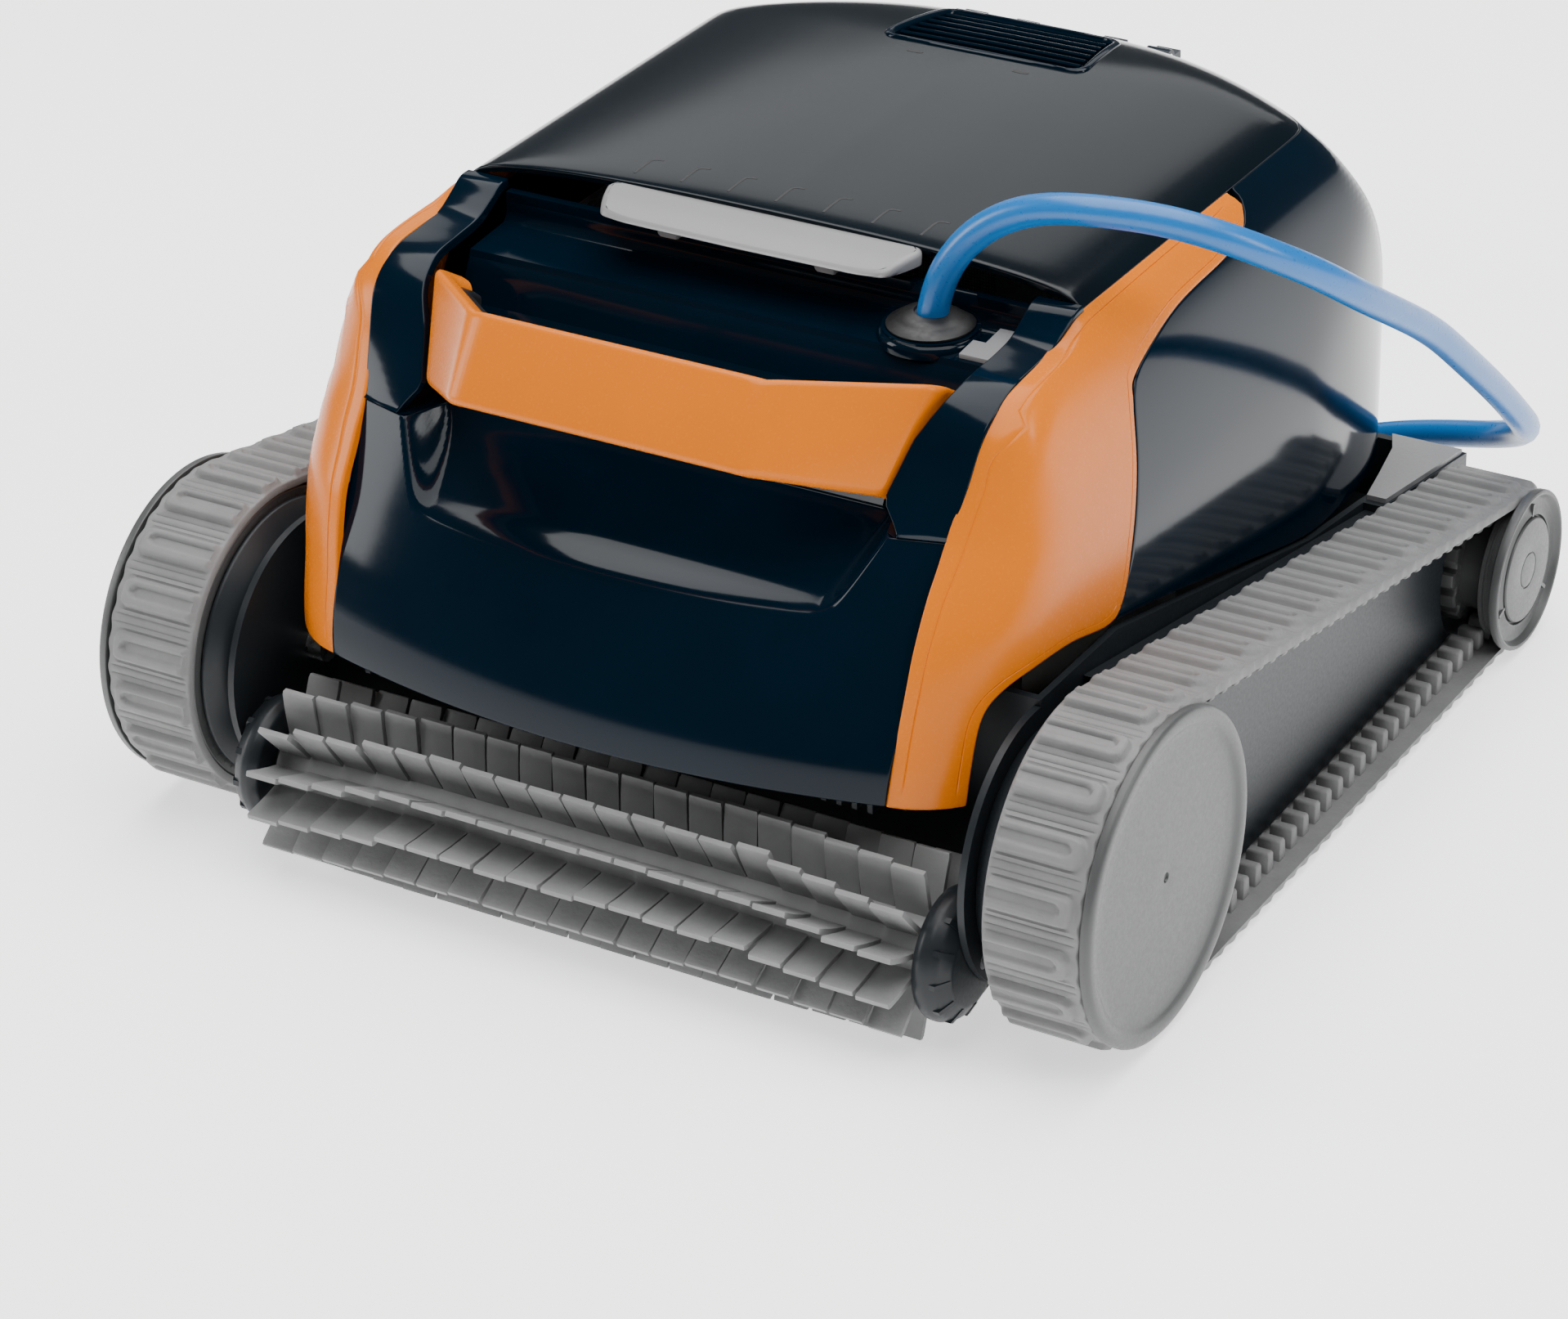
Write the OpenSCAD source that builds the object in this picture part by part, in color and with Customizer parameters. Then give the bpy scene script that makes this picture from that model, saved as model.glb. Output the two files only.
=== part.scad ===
// Tracked robotic pool cleaner: two tracks, front brush, hinged lid, filter and floating cable.

/* [Body] */
// Half width of the body at its widest
body_half = 149.5; // [140:0.5:152]
// Height of the lid crown above the floor
crown_z = 233.7; // [228:0.1:240]
// Skin scale of the inner wall against the outer wall
skin_scale = 0.978; // [0.97:0.001:0.985]
// Gap left between neighbouring panels
seam = 0.6; // [0.4:0.1:1.2]
// Height of the lid parting line
lid_z = 219.4; // [216:0.1:221]
// Ground clearance of the chassis pan
belly_z = 16; // [12:1:22]

/* [Tracks] */
// Inner face of each track from the middle
track_in = 160; // [156:1:166]
// Width of each track
track_w = 36; // [30:1:40]
// Outer radius of the track round the front wheel
front_r = 61.5; // [56:0.5:66]
// Outer radius of the track round the rear wheel
rear_r = 33.5; // [30:0.5:38]
// Distance between the front and rear axles
wheelbase = 305; // [290:1:320]
// Thickness of the track band
band_t = 3; // [2.4:0.1:4]
// Height of the outer cleats
cleat_h = 3; // [2:0.1:4]
// Number of cleats round a track
cleats = 46; // [36:1:52]
// Height of the inner drive teeth
tooth_h = 8; // [5:0.5:10]

/* [Wheels] */
// Radial gap between a wheel and its track
wheel_gap = 0.3; // [0.3:0.05:0.6]
// Radius of the front axle stub
front_axle_r = 6; // [4:0.5:8]
// Radius of the rear axle stub
rear_axle_r = 5; // [4:0.5:7]
// Radial running fit of the wheels on their axles
axle_fit = 0.08; // [0.03:0.01:0.1]

/* [Brush] */
// Radius over the brush flaps
brush_r = 33; // [28:0.5:33.5]
// Radius of the brush core
brush_core_r = 13; // [10:0.5:16]
// Half length of the flapped part
brush_half = 131; // [110:1:131]
// Rows of flaps round the core
flap_rows = 12; // [8:1:14]
// Flaps along one row
flap_count = 19; // [15:1:21]
// Thickness of a flap
flap_t = 1.8; // [1.2:0.1:2.4]

/* [Lid and latch] */
// Height of the lid hinge axis
hinge_z = 214.5; // [213:0.1:216]
// Radius of the hinge pins
hinge_pin_r = 1.6; // [1.2:0.1:2]
// Half length of the latch bar
latch_half = 63; // [56:0.5:64]
// Number of slots in the outlet grille
grille_slots = 7; // [5:1:9]

/* [Cable] */
// Diameter of the floating cable
cable_d = 11; // [9:0.5:12]
// Outer radius of the wound cable
coil_r = 141; // [130:1:146]
// Inner radius of the wound cable
coil_in = 52; // [46:1:58]
// Height of the wound cable
coil_h = 32; // [26:1:44]

/* [Hidden] */

fy = -141.5;
ry = fy + wheelbase;
track_out = track_in + track_w;
lean = 2 * asin((front_r - rear_r) / norm([wheelbase, front_r - rear_r]));
brush_y = fy - 36;
brush_z = brush_r + 1;
band_front = front_r - cleat_h;
band_rear = rear_r - cleat_h;
straight = wheelbase;
arc_rear = band_rear * (180 - lean) * PI / 180;
arc_front = band_front * (180 + lean) * PI / 180;
loop_len = 2 * straight + arc_rear + arc_front;
tooth_x = track_in + 20;
tooth_w = 9;
web_x = tooth_x + tooth_w + 0.7;
hinge_y = fy + 302.5;
gland = [72.5, fy + 68.5, 208];
flap_y = [100, 166];
intake = 160;
coil_c = [-110, 348];
coil_base = 2;
cable_r = cable_d / 2;
navy = [0.02, 0.09, 0.15];
orange = [0.96, 0.56, 0.02];
slate = [0.24, 0.26, 0.28];
rubber = [0.60, 0.61, 0.61];
pale = [0.71, 0.71, 0.72];
steel = [0.75, 0.75, 0.77];

// An outline drawn in depth and height, spread between two widths.
module slab(x0, x1) {
  translate([x0, 0, 0]) rotate([90, 0, 90]) linear_extrude(x1 - x0) children();
}

// An outline drawn in radius and width, turned about a cross axis.
module turn(y, z) {
  translate([0, y, z]) rotate([0, 90, 0]) rotate_extrude($fn = 96) children();
}

// A round bar lying across the body.
module bar(x0, x1, y, z, r) {
  translate([x0, y, z]) rotate([0, 90, 0]) cylinder(r = r, h = x1 - x0, $fn = 48);
}

module both() {
  children();
  mirror([1, 0, 0]) children();
}

// Position and outward direction at a distance along the track.
function loop_at(s) =
  s < straight ? [fy + s, cleat_h, -90]
  : s < straight + arc_rear ? loop_arc(ry, rear_r, band_rear, -90 + (s - straight) * 180 / PI / band_rear)
  : s < 2 * straight + arc_rear ? loop_top(s - straight - arc_rear)
  : loop_arc(fy, front_r, band_front,
      90 - lean + (s - 2 * straight - arc_rear) * 180 / PI / band_front);
function loop_arc(y, z, r, a) = [y + r * cos(a), z + r * sin(a), a];
function loop_top(s) = [
  ry + band_rear * sin(lean) - s * cos(lean),
  rear_r + band_rear * cos(lean) + s * sin(lean),
  90 - lean
];

// Track outline with a given inset from the outer face of the band.
module loop(inset) {
  a = band_front - inset;
  b = band_rear - inset;
  translate([fy, front_r]) circle(r = a, $fn = 120);
  translate([ry, rear_r]) circle(r = b, $fn = 120);
  polygon([
    [fy, front_r - a], [ry, rear_r - b],
    [ry + b * sin(lean), rear_r + b * cos(lean)],
    [fy + a * sin(lean), front_r + a * cos(lean)]
  ]);
}

module loop_marks(n, outline) {
  for (i = [0:n - 1]) {
    p = loop_at((i + 0.5) * loop_len / n);
    translate([p[0], p[1]]) rotate(p[2]) polygon(outline);
  }
}

module track_right() {
  color(rubber) {
    slab(track_in, track_out) difference() {
      loop(0);
      loop(band_t);
    }
    slab(track_in + 1.5, track_out - 2) loop_marks(cleats, [
      [-1, -4.6], [cleat_h - 0.6, -3.4], [cleat_h, -2.6], [cleat_h, 2.6],
      [cleat_h - 0.6, 3.4], [-1, 4.6]
    ]);
    slab(tooth_x, tooth_x + tooth_w) loop_marks(2 * cleats, [
      [-1, -2.6], [-1, 2.6], [-band_t - tooth_h, 1.9], [-band_t - tooth_h, -1.9]
    ]);
  }
}

module track_left() {
  mirror([1, 0, 0]) track_right();
}

module front_wheel_right() {
  rim = band_front - band_t - wheel_gap;
  floor_r = band_front - band_t - tooth_h - 0.7;
  bore = front_axle_r + axle_fit;
  color(rubber) turn(fy, front_r) polygon([
    [bore, track_in + 30], [14, track_in + 30], [14, track_out - 6], [floor_r - 3.5, track_out - 6],
    [floor_r - 3.5, track_in + 1], [rim, track_in + 1], [rim, tooth_x - 0.7],
    [floor_r, tooth_x - 0.7], [floor_r, web_x], [rim, web_x], [rim, track_out], [bore, track_out]
  ]);
}

module front_wheel_left() {
  mirror([1, 0, 0]) front_wheel_right();
}

module front_wheel_cover_right() {
  rim = band_front - band_t - wheel_gap;
  edge = front_r - 2.3;
  color(rubber) turn(fy, front_r) polygon([
    [0, track_out], [rim - 1, track_out], [rim - 1, track_out + 0.3], [edge, track_out + 0.3],
    [edge, track_out + 2.6], [edge - 1.4, track_out + 4], [edge - 5, track_out + 4],
    [edge - 8, track_out + 2.4], [1.8, track_out + 2], [1.8, track_out + 1.4], [0, track_out + 1.4]
  ]);
}

module front_wheel_cover_left() {
  mirror([1, 0, 0]) front_wheel_cover_right();
}

module rear_wheel_right() {
  rim = band_rear - band_t - wheel_gap;
  floor_r = band_rear - band_t - tooth_h - 0.7;
  bore = rear_axle_r + axle_fit;
  color(rubber) {
    turn(ry, rear_r) polygon([
      [bore, track_in + 1], [rim - 2.2, track_in + 1], [rim - 2.2, tooth_x - 0.7],
      [floor_r, tooth_x - 0.7], [floor_r, web_x], [rim, web_x], [rim, track_out], [bore, track_out]
    ]);
    for (i = [0:13]) {
      translate([track_in + 1, ry, rear_r]) rotate([i * 360 / 14, 0, 0])
        translate([0, -1.6, rim - 6]) cube([tooth_x - track_in - 1.7, 3.2, 5.9]);
    }
  }
}

module rear_wheel_left() {
  mirror([1, 0, 0]) rear_wheel_right();
}

module rear_wheel_cover_right() {
  rim = band_rear - band_t - wheel_gap;
  edge = rear_r - 2;
  color(rubber) turn(ry, rear_r) polygon([
    [0, track_out], [rim - 1, track_out], [rim - 1, track_out + 0.3], [edge, track_out + 0.3],
    [edge, track_out + 3], [edge - 1, track_out + 4], [edge - 3, track_out + 4],
    [edge - 5, track_out + 2.6], [22, track_out + 1.8], [21.4, track_out + 0.8],
    [20.6, track_out + 0.8], [20, track_out + 3], [7.4, track_out + 3], [7, track_out + 2.5],
    [6.4, track_out + 2.5], [6, track_out + 3], [0, track_out + 3]
  ]);
}

module rear_wheel_cover_left() {
  mirror([1, 0, 0]) rear_wheel_cover_right();
}

module front_axles() {
  color(steel) both() bar(140, track_out - 1, fy, front_r, front_axle_r);
}

module rear_axles() {
  color(steel) both() bar(130, track_out - 1, ry, rear_r, rear_axle_r);
}

module wheel_housing_right() {
  bevel = 9;
  disc = 52;
  color(slate) turn(fy, front_r) polygon([
    [front_axle_r, 149], [disc - bevel, 149], [disc, 149 + bevel], [disc, track_in - 0.6],
    [30, track_in - 0.6], [22, track_in + 20], [front_axle_r, track_in + 20]
  ]);
}

module wheel_housing_left() {
  mirror([1, 0, 0]) wheel_housing_right();
}

module chassis_outline() {
  polygon([
    [fy + 4, belly_z], [fy + 318, belly_z], [fy + 336, belly_z + 16], [fy + 340, 58],
    [fy + 262, 70], [fy + 215, 76], [fy + 60, 114], [fy + 4, 114]
  ]);
}

module chassis() {
  color(slate) difference() {
    union() {
      slab(-149, 149) chassis_outline();
      both() slab(146.4, 149) translate([fy, front_r]) circle(r = 50, $fn = 96);
      both() slab(118, 157.4) polygon([
        [fy + 262, 56], [fy + 330, 44], [fy + 340, 48], [fy + 340, 58], [fy + 262, 70]
      ]);
    }
    slab(-146.4, 146.4) polygon([
      [fy + 7, belly_z + 3], [fy + 316, belly_z + 3], [fy + 333, belly_z + 18],
      [fy + 337, 90], [fy + 200, 130], [fy + 7, 130]
    ]);
    slab(-112.5, 112.5) polygon([[fy, 62], [fy + 8, 62], [fy + 8, 82], [fy, 82]]);
    for (y = flap_y) {
      translate([-intake / 2, fy + y, belly_z - 1]) cube([intake, 30, 5]);
    }
    both() bar(140, 160, fy, front_r, front_axle_r);
    both() bar(128, 160, ry, rear_r, rear_axle_r);
    both() bar(140, 160, brush_y, brush_z, 3);
    pan_screw_shapes();
  }
  color(slate) both() difference() {
    slab(130, 146.4) translate([ry, rear_r]) circle(r = 11, $fn = 48);
    bar(128, 150, ry, rear_r, rear_axle_r);
  }
  color(slate) both() for (y = flap_y) {
    difference() {
      translate([intake / 2 + 0.4, fy + y, belly_z + 3]) cube([4, 6, 4.4]);
      bar(intake / 2, intake / 2 + 5, fy + y + 2.6, belly_z + 5, 1.66);
    }
  }
}

module pan_screw_shapes() {
  for (x = [-105, 105], y = [30, 150, 290]) {
    translate([x, fy + y, belly_z]) cylinder(r = 4, h = 1.5, $fn = 32);
    translate([x, fy + y, belly_z + 1.5]) cylinder(r = 1.6, h = 3, $fn = 24);
  }
}

module pan_screws() {
  color(steel) pan_screw_shapes();
}

// Outer shape of the body as crossed side, front and top outlines with a rounded rear.
module envelope() {
  intersection() {
    slab(-160, 160) translate([fy, 0]) polygon([
      [-36, 60], [-36, 83], [-22, 137], [0, 170], [14, 198], [26, 208], [35, 211], [61, 213],
      [75, 220], [82, 229], [120, crown_z - 1.7], [160, crown_z - 0.3], [200, crown_z],
      [240, crown_z - 1], [270, crown_z - 4], [290, 225], [305, 217], [318, 205], [331, 188],
      [342, 166], [349, 140], [352, 115], [351, 92], [345, 76], [335, 60]
    ]);
    translate([0, 250, 0]) rotate([90, 0, 0]) linear_extrude(500) polygon([
      [-body_half, 50], [body_half, 50], [body_half, 125], [body_half - 1.5, 142],
      [body_half - 4.5, 162], [body_half - 9.5, 186], [134, 204], [128, 216], [123.5, 221.5],
      [112, 225], [90, 228.2], [60, 231.2], [30, 233], [0, crown_z],
      [-30, 233], [-60, 231.2], [-90, 228.2], [-112, 225], [-123.5, 221.5], [-128, 216],
      [-134, 204], [9.5 - body_half, 186], [4.5 - body_half, 162], [1.5 - body_half, 142],
      [-body_half, 125]
    ]);
    linear_extrude(240) translate([0, fy]) polygon([
      [112, -36], [126, -31], [138, -21], [146, -4], [body_half, 18], [body_half, 210],
      [146, 248], [139, 288], [130, 320], [116, 339], [92, 349], [50, 352], [-50, 352],
      [-92, 349], [-116, 339], [-130, 320], [-139, 288], [-146, 248], [-body_half, 210],
      [-body_half, 18], [-146, -4], [-138, -21], [-126, -31], [-112, -36]
    ]);
    translate([0, fy + 110, 0]) rotate_extrude($fn = 96) polygon([
      [0, 0], [251, 50], [253, 95], [251, 115], [245, 140], [236, 160], [224, 180], [211, 198],
      [200, 211], [190, 220], [176, 228], [0, 242]
    ]);
  }
}

module skin() {
  pivot = [0, fy + 150, 120];
  difference() {
    envelope();
    translate(pivot) scale(skin_scale) translate(-pivot) envelope();
  }
}

// Front view zone outside the sloping joint between the pillar and the side panel.
module flank() {
  translate([0, 250, 0]) rotate([90, 0, 0]) linear_extrude(500) polygon([
    [112.4, 60], [112.4, 83], [118, 167], [124.4, 219], [124.4, 240], [165, 240], [165, 60]
  ]);
}

module side_panel_right() {
  color(orange) intersection() {
    skin();
    flank();
    slab(100, 165) translate([fy, 0]) polygon([
      [-45, 80], [-23, 80], [-20, 95], [-12, 118], [7, 125], [29, 124], [60, 118], [70, 130],
      [80, 160], [87, 188], [92, 194], [129, 203.6], [172, 205.6], [188, 208.8], [194, lid_z - seam],
      [30, lid_z - seam], [-45, 140]
    ]);
  }
}

module side_panel_left() {
  mirror([1, 0, 0]) side_panel_right();
}

module side_shell_right() {
  color(navy) intersection() {
    skin();
    slab(70.3, 165) translate([fy, 0]) polygon([
      [60 + seam, 117.2], [70 + seam, 129.8], [80 + seam, 159.8], [87.4 + seam, 187.4],
      [92.2 + seam, 193.2], [129, 203.6 - seam], [172, 205.6 - seam], [188 + seam, 208.4],
      [194 + seam, lid_z - seam], [360, lid_z - seam], [360, 57], [262, 71.5], [215, 77.5]
    ]);
  }
}

module side_shell_left() {
  mirror([1, 0, 0]) side_shell_right();
}

module rear_panel() {
  color(navy) {
    difference() {
      intersection() {
        skin();
        slab(-69.7, 69.7) translate([fy, 0]) polygon([
          [284, lid_z - seam], [365, lid_z - seam], [365, 62], [335, 62], [335, 150], [284, 200]
        ]);
      }
      translate([-48.4, fy + 280, 200]) cube([96.8, 26.4, 30]);
    }
    both() for (x = [14, 36.3]) {
      difference() {
        union() {
          bar(x, x + 9.7, hinge_y, hinge_z, 3.2);
          translate([x, hinge_y, hinge_z - 7.1]) cube([9.7, 8.5, 7.3]);
        }
        bar(x - 1, x + 11, hinge_y, hinge_z, hinge_pin_r);
      }
    }
  }
}

module hinge_pins() {
  color(steel) both() bar(14, 46, hinge_y, hinge_z, hinge_pin_r);
}

module lid() {
  color(navy) {
    difference() {
      intersection() {
        skin();
        translate([-124, fy + 82.4, lid_z]) cube([248, 216, 30]);
      }
      translate([-66, fy + 80, lid_z - 1]) cube([132, 6.6, 30]);
      grille_block(0);
    }
    both() difference() {
      union() {
        bar(24, 36, hinge_y, hinge_z, 3);
        translate([24, hinge_y - 18.5, hinge_z + 0.4]) cube([12, 18.5, 2.6]);
        translate([24, hinge_y - 18.5, hinge_z + 0.4]) cube([12, 4, 10]);
      }
      bar(23, 37, hinge_y, hinge_z, hinge_pin_r + 0.06);
    }
  }
}

module grille_block(inset) {
  translate([0, fy, 210]) linear_extrude(40) polygon([
    [-41 + inset, 238 + inset], [41 - inset, 238 + inset], [35 - inset, 281 - inset],
    [-35 + inset, 281 - inset]
  ]);
}

module outlet_grille() {
  pitch = 37 / grille_slots;
  color(navy) difference() {
    intersection() {
      skin();
      grille_block(0);
    }
    for (i = [0:grille_slots - 1]) {
      translate([-33, fy + 241.4 + i * pitch, 215]) cube([66, pitch - 2, 30]);
    }
  }
}

// Bowed plate under the handle with a finger scoop sunk into its upper middle.
module front_cover() {
  axis = fy + 374;
  color(navy) {
    difference() {
      intersection() {
        translate([0, axis, 0]) rotate_extrude($fn = 180) polygon([
          [425, 83.2], [425, 86], [411, 137], [392, 166.4], [388.4, 166.4], [407.8, 136],
          [422, 83.2]
        ]);
        translate([0, fy + 20, 0]) rotate([90, 0, 0]) linear_extrude(90) polygon([
          [-111.8, 83], [111.8, 83], [117.2, 166.4], [-117.2, 166.4]
        ]);
      }
      translate([-80, fy - 60, 122]) cube([160, 70, 50]);
    }
    slab(-80, 80) translate([fy, 0]) polygon([
      [-44, 119], [-36, 122], [-12, 132], [8, 150], [13, 166.4], [9.6, 166.4], [5, 151.6],
      [-13.6, 135.2], [-38, 125], [-44, 122.4]
    ]);
    both() slab(77, 80) translate([fy, 0]) polygon([
      [-44, 122], [-38, 125], [-13.6, 135.2], [5, 151.6], [9.6, 166.4], [-10, 166.4], [-31, 137]
    ]);
  }
}

module front_pillar_right() {
  color(navy) intersection() {
    slab(100, 126) translate([fy, 0]) polygon([
      [-3, 167], [0, 170.4], [14, 198], [26, 208], [35, 211], [61, 213], [75, 220.4], [81.6, 220.4],
      [81.6, 204], [52, 203.4], [30, 190], [12, 167]
    ]);
    translate([0, 250, 0]) rotate([90, 0, 0]) linear_extrude(500) polygon([
      [106, 160], [117.4, 167], [123.8, 219], [123.8, 225], [106, 225]
    ]);
  }
}

module front_pillar_left() {
  mirror([1, 0, 0]) front_pillar_right();
}

// Sunken deck behind the handle, stepping up to the lid edge.
module deck() {
  color(navy) difference() {
    union() {
      slab(-105.6, 105.6) translate([fy, 0]) polygon([
        [13, 167], [34, 172], [48, 190], [54, 204.4], [78, 206.4], [78, 217], [81.6, 217],
        [81.6, 203.2], [57, 201.2], [51, 188], [36, 169], [13, 163.6]
      ]);
      translate([gland[0], gland[1], 203]) cylinder(r = 17, h = 5, $fn = 64);
    }
    translate([gland[0], gland[1], 190]) cylinder(r = 9, h = 40, $fn = 48);
    translate(gland) cylinder(r = 16.3, h = 20, $fn = 64);
    both() translate([26, fy + 64.4, 198]) cube([11, 11, 12]);
  }
  color(navy) both() slab(38, 41) translate([fy, 0]) difference() {
    polygon([[62, 201.8], [78, 203.2], [78, 190], [62, 190]]);
    translate([70, 196]) circle(r = 1.6, $fn = 32);
  }
}

module latch() {
  color(pale) {
    translate([0, fy, 223]) linear_extrude(5.4) polygon([
      [-58, 64], [-50, 62.4], [0, 61.4], [50, 62.4], [58, 64], [latch_half, 80], [latch_half - 3, 84],
      [0, 85.6], [3 - latch_half, 84], [-latch_half, 80]
    ]);
    both() difference() {
      slab(28, 35) translate([fy, 0]) polygon([
        [67.5, 194], [72.5, 194], [73.6, 224], [67.5, 224]
      ]);
      bar(27, 36, fy + 70, 196, 1.66);
    }
  }
}

module latch_pin() {
  color(steel) bar(-41, 41, fy + 70, 196, 1.6);
}

// Bridge handle leaning back with swept ends.
module handle() {
  color(orange) translate([0, fy, 0]) rotate([-32.7, 0, 0]) translate([0, 0, 144]) difference() {
    linear_extrude(33) polygon([
      [-106, -86], [-106, -93], [-57, -134], [57, -134], [106, -93], [106, -86], [97, -88],
      [53, -126], [-53, -126], [-97, -88]
    ]);
    for (x = [-38, 38]) {
      translate([x - 3.5, -131.6, 31.5]) cube([7, 2.2, 3]);
    }
  }
}

module handle_liner() {
  color(orange) translate([0, fy, 0]) rotate([-32.7, 0, 0]) translate([0, 0, 146])
    linear_extrude(29) polygon([
      [-97, -88], [-53, -126], [53, -126], [97, -88], [97, -82], [91, -82], [50, -119],
      [-50, -119], [-91, -82], [-97, -82]
    ]);
}

module cable_gland() {
  color([0.05, 0.05, 0.06]) translate(gland) rotate_extrude($fn = 64) polygon([
    [0, -5], [9, -5], [9, 0], [15.5, 0], [15.5, 1], [11, 3.4], [8, 3.8], [7, 3], [7, 0.5], [0, 0.5]
  ]);
}

module gland_plate() {
  rise = 2 / 24;
  color(pale) intersection() {
    slab(90, 105) translate([fy, 0]) polygon([
      [56, 204.4 + 2 * rise], [77, 204.4 + 23 * rise], [77, 206 + 23 * rise], [56, 206 + 2 * rise]
    ]);
    translate([0, fy, 200]) linear_extrude(12) polygon([
      [90.2, 56], [105, 56], [105, 77], [95, 77], [95, 66], [90.2, 66]
    ]);
  }
}

module brush_shroud() {
  color(slate) {
    slab(-111, 111) translate([fy, 0]) polygon([
      [-27, 80.4], [-20, 73], [-2, 63.6], [4, 63.6], [7, 66], [7, 80], [-24, 82.4]
    ]);
    slab(-116, 116) polygon([[fy + 7, 58], [fy + 9, 58], [fy + 9, 86], [fy + 7, 86]]);
    for (i = [-17:17]) {
      translate([i * 6 - 1, fy - 29.4, 74.6]) cube([2, 9, 7]);
    }
  }
}

module rear_plates() {
  drop = 12 / 78;
  color(pale) both() intersection() {
    slab(118, 157) translate([fy, 0]) polygon([
      [264, 70 - 2 * drop], [338, 70 - 76 * drop], [338, 72 - 76 * drop], [264, 72 - 2 * drop]
    ]);
    linear_extrude(100) translate([0, fy]) polygon([
      [150.5, 266], [156.4, 266], [156.4, 337.6], [127, 337.6], [134, 322], [142, 292], [148.6, 266]
    ]);
  }
}

module brush_core() {
  color(rubber) turn(brush_y, brush_z) polygon([
    [9, -brush_half - 1], [brush_core_r, -brush_half - 1], [brush_core_r, brush_half + 1],
    [9, brush_half + 1]
  ]);
}

module brush_star(turned) {
  reach = brush_r - brush_core_r + 1;
  difference() {
    union() {
      circle(r = brush_core_r + 1.4, $fn = 64);
      for (k = [0:flap_rows - 1]) {
        rotate(turned + k * 360 / flap_rows) translate([brush_core_r - 1, -flap_t / 2])
          square([reach, flap_t]);
      }
    }
    circle(r = brush_core_r, $fn = 64);
  }
}

module brush_flaps() {
  pitch = 2 * brush_half / flap_count;
  mid = (flap_count - 1) / 2;
  color(rubber) for (i = [0:flap_count - 1]) {
    turned = max(0, abs(i - mid) - 5) * 3;
    translate([-brush_half + i * pitch, brush_y, brush_z]) rotate([90, 0, 90])
      linear_extrude(pitch - 0.7) brush_star(turned);
  }
  color(rubber) turn(brush_y, brush_z) polygon([
    [brush_core_r, -brush_half], [brush_core_r + 1, -brush_half], [brush_core_r + 1, brush_half - 0.7],
    [brush_core_r, brush_half - 0.7]
  ]);
}

module brush_caps() {
  color(slate) both() turn(brush_y, brush_z) polygon([
    [3.06, 146], [17, 146], [22, 143], [24, 139], [24, 136], [22, 133], [9, 132], [9, 124],
    [5, 124], [5, 139], [3.06, 139]
  ]);
}

module brush_pins() {
  color(steel) both() bar(139.4, 149, brush_y, brush_z, 3);
}

module pump_motor() {
  color([0.12, 0.13, 0.14]) {
    translate([0, fy + 262, belly_z + 3]) cylinder(r = 44, h = 118, $fn = 64);
    translate([-44, fy + 262, belly_z + 3]) cube([88, 48, 90]);
    translate([0, fy + 262, 130]) cylinder(r = 4, h = 34, $fn = 32);
  }
}

module impeller() {
  color([0.85, 0.86, 0.87]) translate([0, fy + 262, 150]) {
    difference() {
      cylinder(r = 9, h = 20, $fn = 48);
      translate([0, 0, -1]) cylinder(r = 4.06, h = 15.4, $fn = 32);
    }
    for (k = [0:4]) {
      rotate([0, 0, k * 72]) translate([8, 0, 2]) rotate([32, 0, 0]) translate([0, -1, 0])
        cube([27, 2, 17]);
    }
  }
}

module outlet_duct() {
  color(slate) translate([0, fy + 262, 0]) difference() {
    union() {
      translate([0, 0, 137]) cylinder(r = 44, h = 70, $fn = 64);
      translate([0, 0, 137]) cylinder(r = 47, h = 4, $fn = 64);
    }
    translate([0, 0, 141]) cylinder(r = 41, h = 70, $fn = 64);
    translate([0, 0, 130]) cylinder(r = 30, h = 20, $fn = 64);
  }
}

module filter_basket() {
  color([0.30, 0.32, 0.34]) difference() {
    translate([-96, fy + 90, belly_z + 3]) cube([192, 122, 199 - belly_z]);
    translate([-93, fy + 93, 53]) cube([186, 116, 152]);
    translate([-93, fy + 93, belly_z]) cube([186, 116, 50 - belly_z]);
    for (x = [-70, 0, 70]) {
      translate([x - 22, fy + 85, 66]) cube([44, 132, 118]);
      translate([x - 22, fy + 112, 45]) cube([44, 78, 10]);
    }
    both() translate([90, fy + 104, 66]) cube([10, 94, 118]);
  }
}

module filter_mesh() {
  color([0.88, 0.89, 0.90]) {
    for (x = [-70, 0, 70]) {
      translate([x - 22, fy + 91, 66]) cube([44, 1, 118]);
      translate([x - 22, fy + 210, 66]) cube([44, 1, 118]);
      translate([x - 22, fy + 112, 51]) cube([44, 78, 1]);
    }
    both() translate([94, fy + 104, 66]) cube([1, 94, 118]);
  }
}

module intake_flap(y) {
  color([0.12, 0.13, 0.14]) {
    translate([-intake / 2 + 0.5, fy + y + 1.2, belly_z + 1]) cube([intake - 1, 28.2, 1.8]);
    translate([-intake / 2 + 0.5, fy + y + 1.8, belly_z + 2]) cube([intake - 1, 1.6, 3]);
    bar(-intake / 2 - 3, intake / 2 + 3, fy + y + 2.6, belly_z + 5, 1.6);
  }
}

module intake_flap_front() {
  intake_flap(flap_y[0]);
}

module intake_flap_rear() {
  intake_flap(flap_y[1]);
}

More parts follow.
